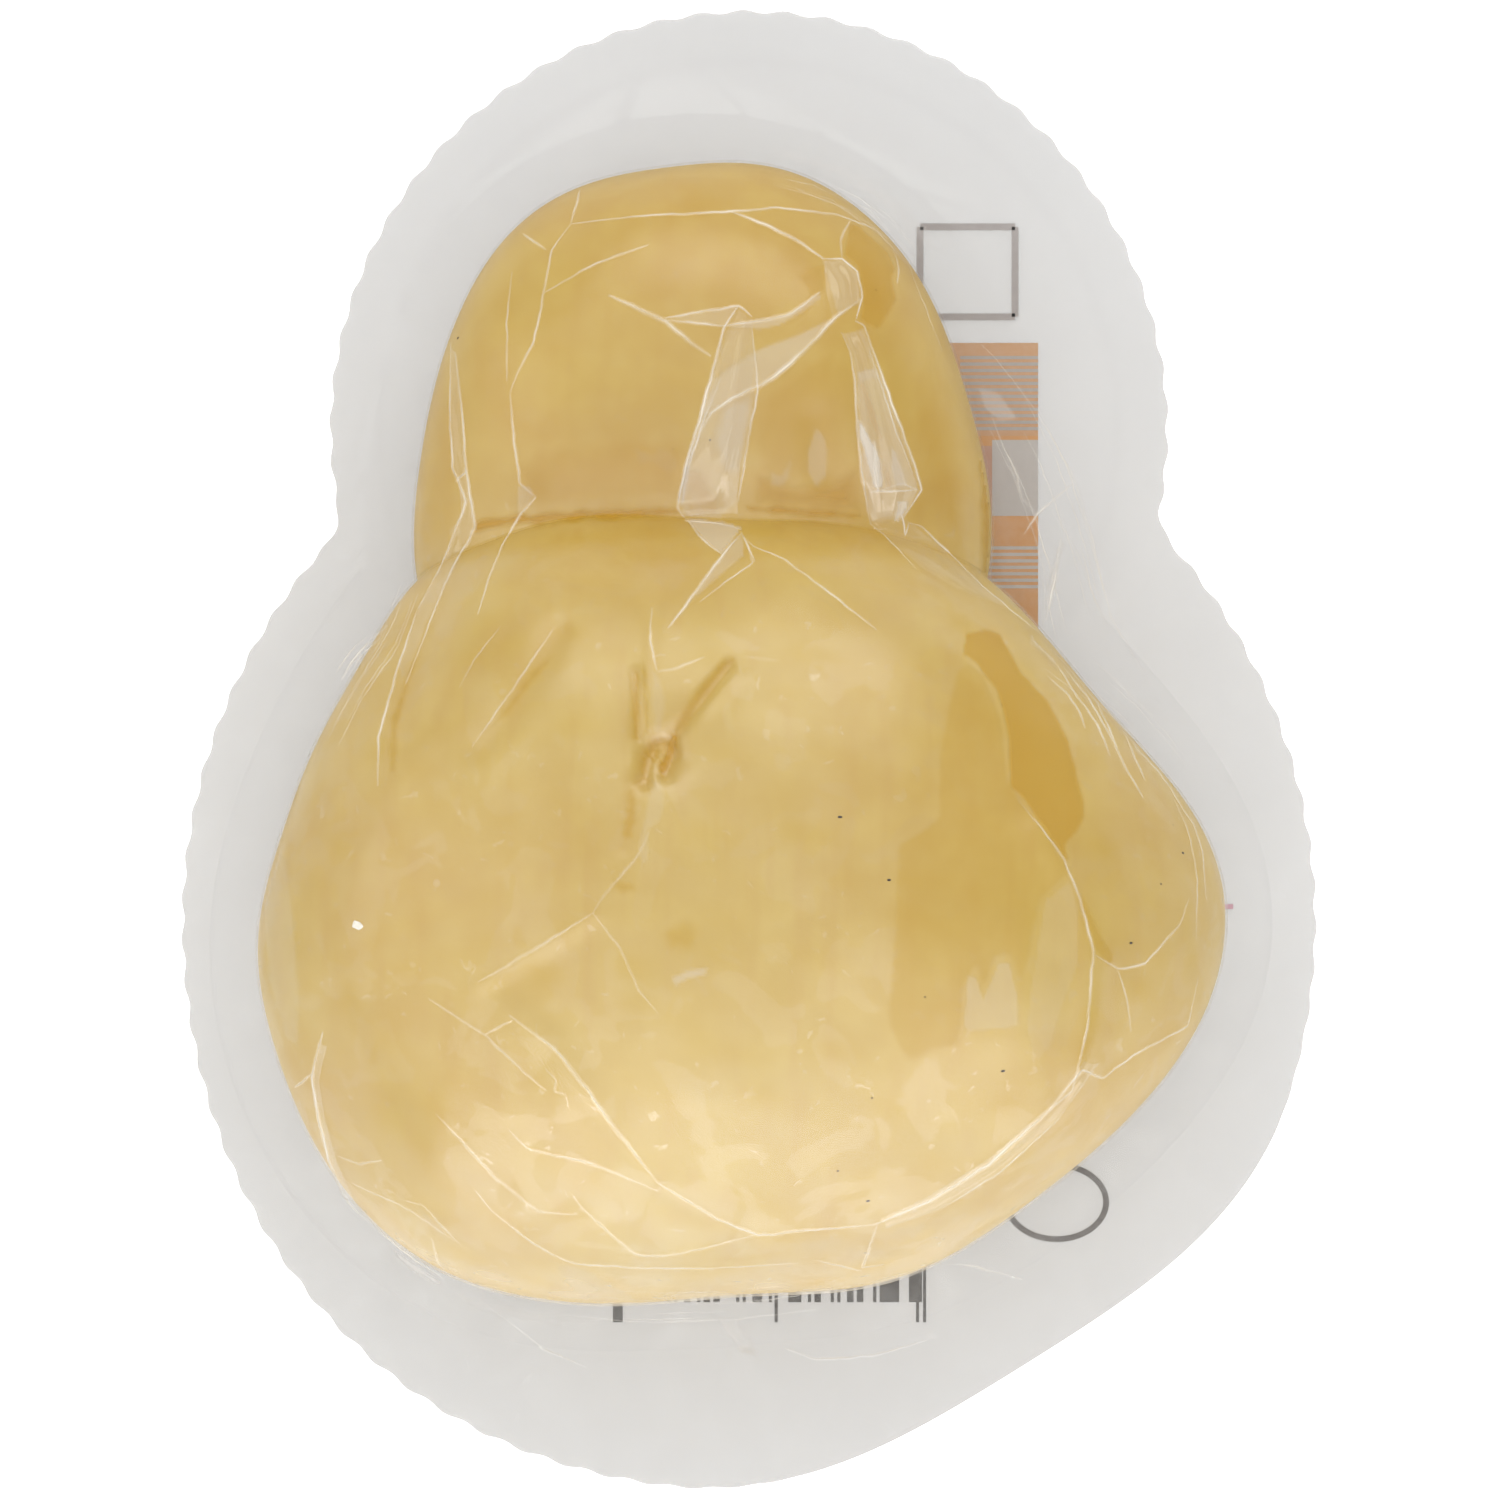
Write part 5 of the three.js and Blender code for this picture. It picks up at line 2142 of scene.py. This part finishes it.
@dataclass(frozen=True)
class RindFlecks:
    """The dark flecks of smoke dust on the rind, each a flattened grain."""

    radius: float = 0.1
    flatness: float = 0.4
    seed: int = 8
    sizes: tuple[float, float] = (0.5, 1.2)
    stretches: tuple[float, float] = (1.0, 1.9)
    stretch_draw: int = 77
    specks: Route = (
        1002, 705, 925, 997, 1003, 1071, 872, 1098, 838, 1171, 868, 1201, 840, 817, 1173, 825, 876, 290,
        673, 449, 710, 440, 889, 880, 1183, 853, 1161, 884, 1131, 943, 588, 1171, 458, 338)

    def tree(self) -> NodeTree:
        """Makes the tree that sets a grain of its own size and turn on each point.

        Returns:
            The tree, with the inputs Radius, Flatness, Seed and Material.
        """
        tree, start = new_tree("smoke_dust", {
            "Radius": "NodeSocketFloat", "Flatness": "NodeSocketFloat", "Seed": "NodeSocketInt",
            "Material": "NodeSocketMaterial"})
        points = add_node(tree, "MeshToPoints", {"Mesh": start.outputs["Geometry"]})
        grain = add_node(tree, "MeshIcoSphere", {"Radius": 1.0, "Subdivisions": 2})
        size = add_node(tree, "RandomValue", {
            2: self.sizes[0], 3: self.sizes[1], "Seed": start.outputs["Seed"]}, data_type="FLOAT")
        wide = add_node(tree, "Math", {0: size, 1: start.outputs["Radius"]}, operation="MULTIPLY")
        thin = add_node(tree, "Math", {0: wide, 1: start.outputs["Flatness"]}, operation="MULTIPLY")
        long = add_node(tree, "RandomValue", {
            2: self.stretches[0], 3: self.stretches[1], "Seed": start.outputs["Seed"],
            "ID": self.stretch_draw}, data_type="FLOAT")
        stretched = add_node(tree, "Math", {0: wide, 1: long}, operation="MULTIPLY")
        scale = add_node(tree, "CombineXYZ", {"X": stretched, "Y": wide, "Z": thin})
        upward = add_node(tree, "InputNamedAttribute", {"Name": "upward"}, data_type="FLOAT_VECTOR")
        turn = add_node(tree, "AlignRotationToVector", {"Vector": upward}, axis="Z")
        grains = add_node(tree, "InstanceOnPoints", {
            "Points": points, "Instance": grain, "Rotation": turn, "Scale": scale})
        end_tree(tree, grains, start.outputs["Material"])
        return tree

    def build(self, rind: Skin) -> Object:
        """Sets the flecks on the rind as one piece.

        Args:
            rind: The cheese's surface.

        Returns:
            The piece.
        """
        places, normals, _ = rind.seen(knots_of(self.specks))
        made = mesh_object("smoke_dust_flecks", places, [])
        add_values(made.data, upward=normals)
        run_tree(made, self.tree(), {
            "Radius": self.radius * MM, "Flatness": self.flatness, "Seed": self.seed,
            "Material": SMOKE_DUST.material()})
        return made


@dataclass(frozen=True)
class CurdCrumb:
    """The one white crumb of curd that is caught under the film at the left."""

    place: Pixel = (357, 925)
    length: float = 1.5
    width: float = 1.1
    height: float = 0.2
    corners: int = 26
    raggedness: tuple[float, float] = (0.75, 1.1)
    seed: int = 4

    def build(self, rind: Skin) -> Object:
        """Makes the crumb as a ragged flake that lies on the rind.

        Args:
            rind: The cheese's surface.

        Returns:
            The piece.
        """
        places, normals, _ = rind.seen(knots_of(self.place))
        draw = np.random.default_rng(self.seed)
        cloud = draw.normal(size=(self.corners, 3))
        cloud /= np.linalg.norm(cloud, axis=1)[:, None]
        halves = np.array([self.length, self.width, self.height]) / 2
        cloud *= draw.uniform(*self.raggedness, (self.corners, 1)) * halves
        turn = Vector((0, 0, 1)).rotation_difference(Vector(normals[0])).to_matrix()
        lying = cloud @ np.array(turn).T + places[0]
        made = mesh_object("curd_crumb", lying, [])
        with edited(made.data) as flake:
            hull = bmesh.ops.convex_hull(flake, input=flake.verts)
            loose = [part for part in hull["geom_interior"] if isinstance(part, bmesh.types.BMVert)]
            bmesh.ops.delete(flake, geom=loose, context="VERTS")
            bmesh.ops.recalc_face_normals(flake, faces=flake.faces)
        made.data.materials.append(WHITE_CURD.material())
        return made


# The studio


@dataclass(frozen=True)
class Softbox:
    """A soft lamp that faces the pack: its middle and size in metres, how bright it is, and its use."""

    name: str
    middle: tuple[float, float, float]
    size: tuple[float, float]
    radiance: float
    use: Lamp

    def build(self) -> None:
        """Hangs the lamp, out of the camera's sight."""
        lamp = bpy.data.lights.new(self.name, "AREA")
        lamp.shape = "RECTANGLE"
        lamp.size, lamp.size_y = self.size
        lamp.energy = self.radiance * math.pi * self.size[0] * self.size[1]
        made = bpy.data.objects.new(self.name, lamp)
        made.location = self.middle
        made.rotation_euler = Vector(self.middle).to_track_quat("Z", "Y").to_euler()
        made.visible_camera = False
        made.visible_diffuse = self.use is Lamp.FILL
        made.visible_glossy = self.use is Lamp.SHINE
        bpy.context.scene.collection.objects.link(made)


@dataclass(frozen=True)
class Studio:
    """A pale table in even light, with the camera straight above the pack."""

    floor_size: float = 6.0
    floor_drop: float = 0.15
    floor_colour: str = "#f4f4f3"
    drift_colour: str = "#f1f1f0"
    drift_size: float = 400.0
    floor_glow: float = 0.9
    room_light: float = 0.645
    room_shine: float = 0.4
    sight: float = 20.0
    softboxes: tuple[Softbox, ...] = (
        Softbox("roof_fill", (0.0, 0.1, 1.3), (1.3, 1.3), 1.13, Lamp.FILL),
        Softbox("front_fill", (0.0, -1.3, 0.4), (2.2, 0.8), 1.45, Lamp.FILL),
        Softbox("back_fill", (0.0, 1.3, 0.9), (2.0, 1.2), 1.1, Lamp.FILL),
        Softbox("roof_shine", (-0.2, 0.0, 1.3), (1.8, 1.8), 0.5, Lamp.SHINE),
        Softbox("high_front_shine", (0.0, -0.7, 1.1), (2.2, 0.8), 1.3, Lamp.SHINE),
        Softbox("front_shine", (0.0, -1.3, 0.55), (2.6, 1.5), 2.7, Lamp.SHINE),
        Softbox("back_shine", (0.1, 1.25, 1.0), (1.8, 1.0), 1.85, Lamp.SHINE),
        Softbox("left_shine", (-1.35, 0.0, 0.7), (1.6, 1.2), 1.2, Lamp.SHINE),
    )

    def floor(self) -> None:
        """Makes the table: pale laminate that looks lit from below, and so does its front in a mirror."""
        half = self.floor_size / 2 / MM
        low = -self.floor_drop
        corners = np.array([(-half, -half, low), (half, -half, low), (half, half, low), (-half, half, low)])
        floor = mesh_object("studio_floor", corners, [(0, 1, 2, 3)])
        material, tree, place = new_material("pale_studio_table")
        drift = add_node(tree, "TexNoise", {"Vector": place, "Scale": 1 / self.drift_size, "Detail": 0.0})
        tone = add_node(tree, "Mix", {
            0: drift, 6: linear(self.floor_colour), 7: linear(self.drift_colour)}, data_type="RGBA")
        paths = add_node(tree, "LightPath")
        sides = add_node(tree, "SeparateXYZ", {0: place})
        front = add_node(tree, "MapRange", {
            "Value": sides.outputs["Y"], "From Min": -25.0, "From Max": -75.0})
        seen = add_node(tree, "Math", {
            0: front, 1: paths.outputs["Is Glossy Ray"],
            2: paths.outputs["Is Camera Ray"]}, operation="MULTIPLY_ADD")
        glow = add_node(tree, "Math", {0: seen, 1: self.floor_glow}, operation="MULTIPLY")
        table = add_node(tree, "BsdfPrincipled", {
            "Base Color": tone, "Roughness": 0.6, "Specular IOR Level": 0.2, "Emission Color": (1, 1, 1, 1),
            "Emission Strength": glow})
        add_node(tree, "OutputMaterial", {"Surface": table})
        floor.data.materials.append(material)

    def light(self) -> None:
        """Hangs the softboxes in an even pale room."""
        for softbox in self.softboxes:
            softbox.build()
        world = bpy.data.worlds.new("pale_room")
        world.use_nodes = True
        world.node_tree.nodes.clear()
        paths = add_node(world.node_tree, "LightPath")
        strength = add_node(world.node_tree, "MapRange", {
            "Value": paths.outputs["Is Glossy Ray"], "To Min": self.room_light, "To Max": self.room_shine})
        room = add_node(world.node_tree, "Background", {"Color": (1, 1, 1, 1), "Strength": strength})
        add_node(world.node_tree, "OutputWorld", {"Surface": room})
        bpy.context.scene.world = world

    def camera(self) -> None:
        """Sets the camera at the photograph's view, with the head of the cheese to the top."""
        lens = bpy.data.cameras.new("photo_camera")
        lens.lens = VIEW.focal_length
        lens.sensor_width = VIEW.sensor
        lens.clip_end = self.sight
        made = bpy.data.objects.new("photo_camera", lens)
        made.location = VIEW.eye * MM
        bpy.context.scene.collection.objects.link(made)
        bpy.context.scene.camera = made

    def build(self) -> None:
        """Sets up the table, the light, the camera and true colours."""
        self.floor()
        self.light()
        self.camera()
        bpy.context.scene.view_settings.view_transform = "Standard"


# Putting it together


def clear_piece(piece: Object) -> Object:
    """Lets light both ways through a piece of clear film, which throws no shadow on what it clings to.

    Args:
        piece: The piece.

    Returns:
        The same piece.
    """
    piece.visible_shadow = False
    piece.visible_diffuse = False
    return piece


def place_piece(piece: Object, slot: Slot, *replaced: str) -> None:
    """Fixes a piece to the pack and reports it.

    Args:
        piece: The finished piece.
        slot: Not used.
        *replaced: The nodes that it stands for.
    """
    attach(piece, PACK_BODY)
    if replaced:
        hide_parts(*replaced)
    LOG.info("%s: %d faces", piece.name, len(piece.data.polygons))


def main() -> None:
    """Builds the pack's pieces in order, then the studio round them."""
    logging.basicConfig(level=logging.INFO, format="%(name)s: %(message)s")
    sheet = BackingSheet()
    place_piece(sheet.build(), Slot.SHEET, "backing_sheet")
    place_piece(SheetPrint().build(), Slot.SHEET)
    cheese = Scamorza().build()
    place_piece(cheese, Slot.WRAPPED, "film_wrapped_scamorza")
    film = clear_piece(CoverFilm(sheet=sheet).build())
    place_piece(film, Slot.WRAPPED, "film_wrapped_scamorza")
    film_skin, rind_skin = Skin(film), Skin(cheese)
    layers = (
        # The whey patches also paint shade.
        (UnderFilm("whey_and_painted_shade_patches", WHEY_AND_SHADE_PATCHES, WHEY_AND_SHADE), rind_skin),
        # The air pockets also paint the film's highlights, sheens and reflections.
        (UnderFilm("air_pockets_and_painted_highlights", AIR_AND_SHEEN_PATCHES, TRAPPED_AIR_AND_SHEEN), film_skin),
        (FilmFolds(), film_skin),
        (FilmCreases(), film_skin),
    )
    for layer, skin in layers:
        place_piece(clear_piece(layer.build(skin)), Slot.WRAPPED)
    for specks in (RindFlecks(), CurdCrumb()):
        place_piece(specks.build(rind_skin), Slot.WRAPPED)
    Studio().build()


if __name__ == "__main__":
    main()
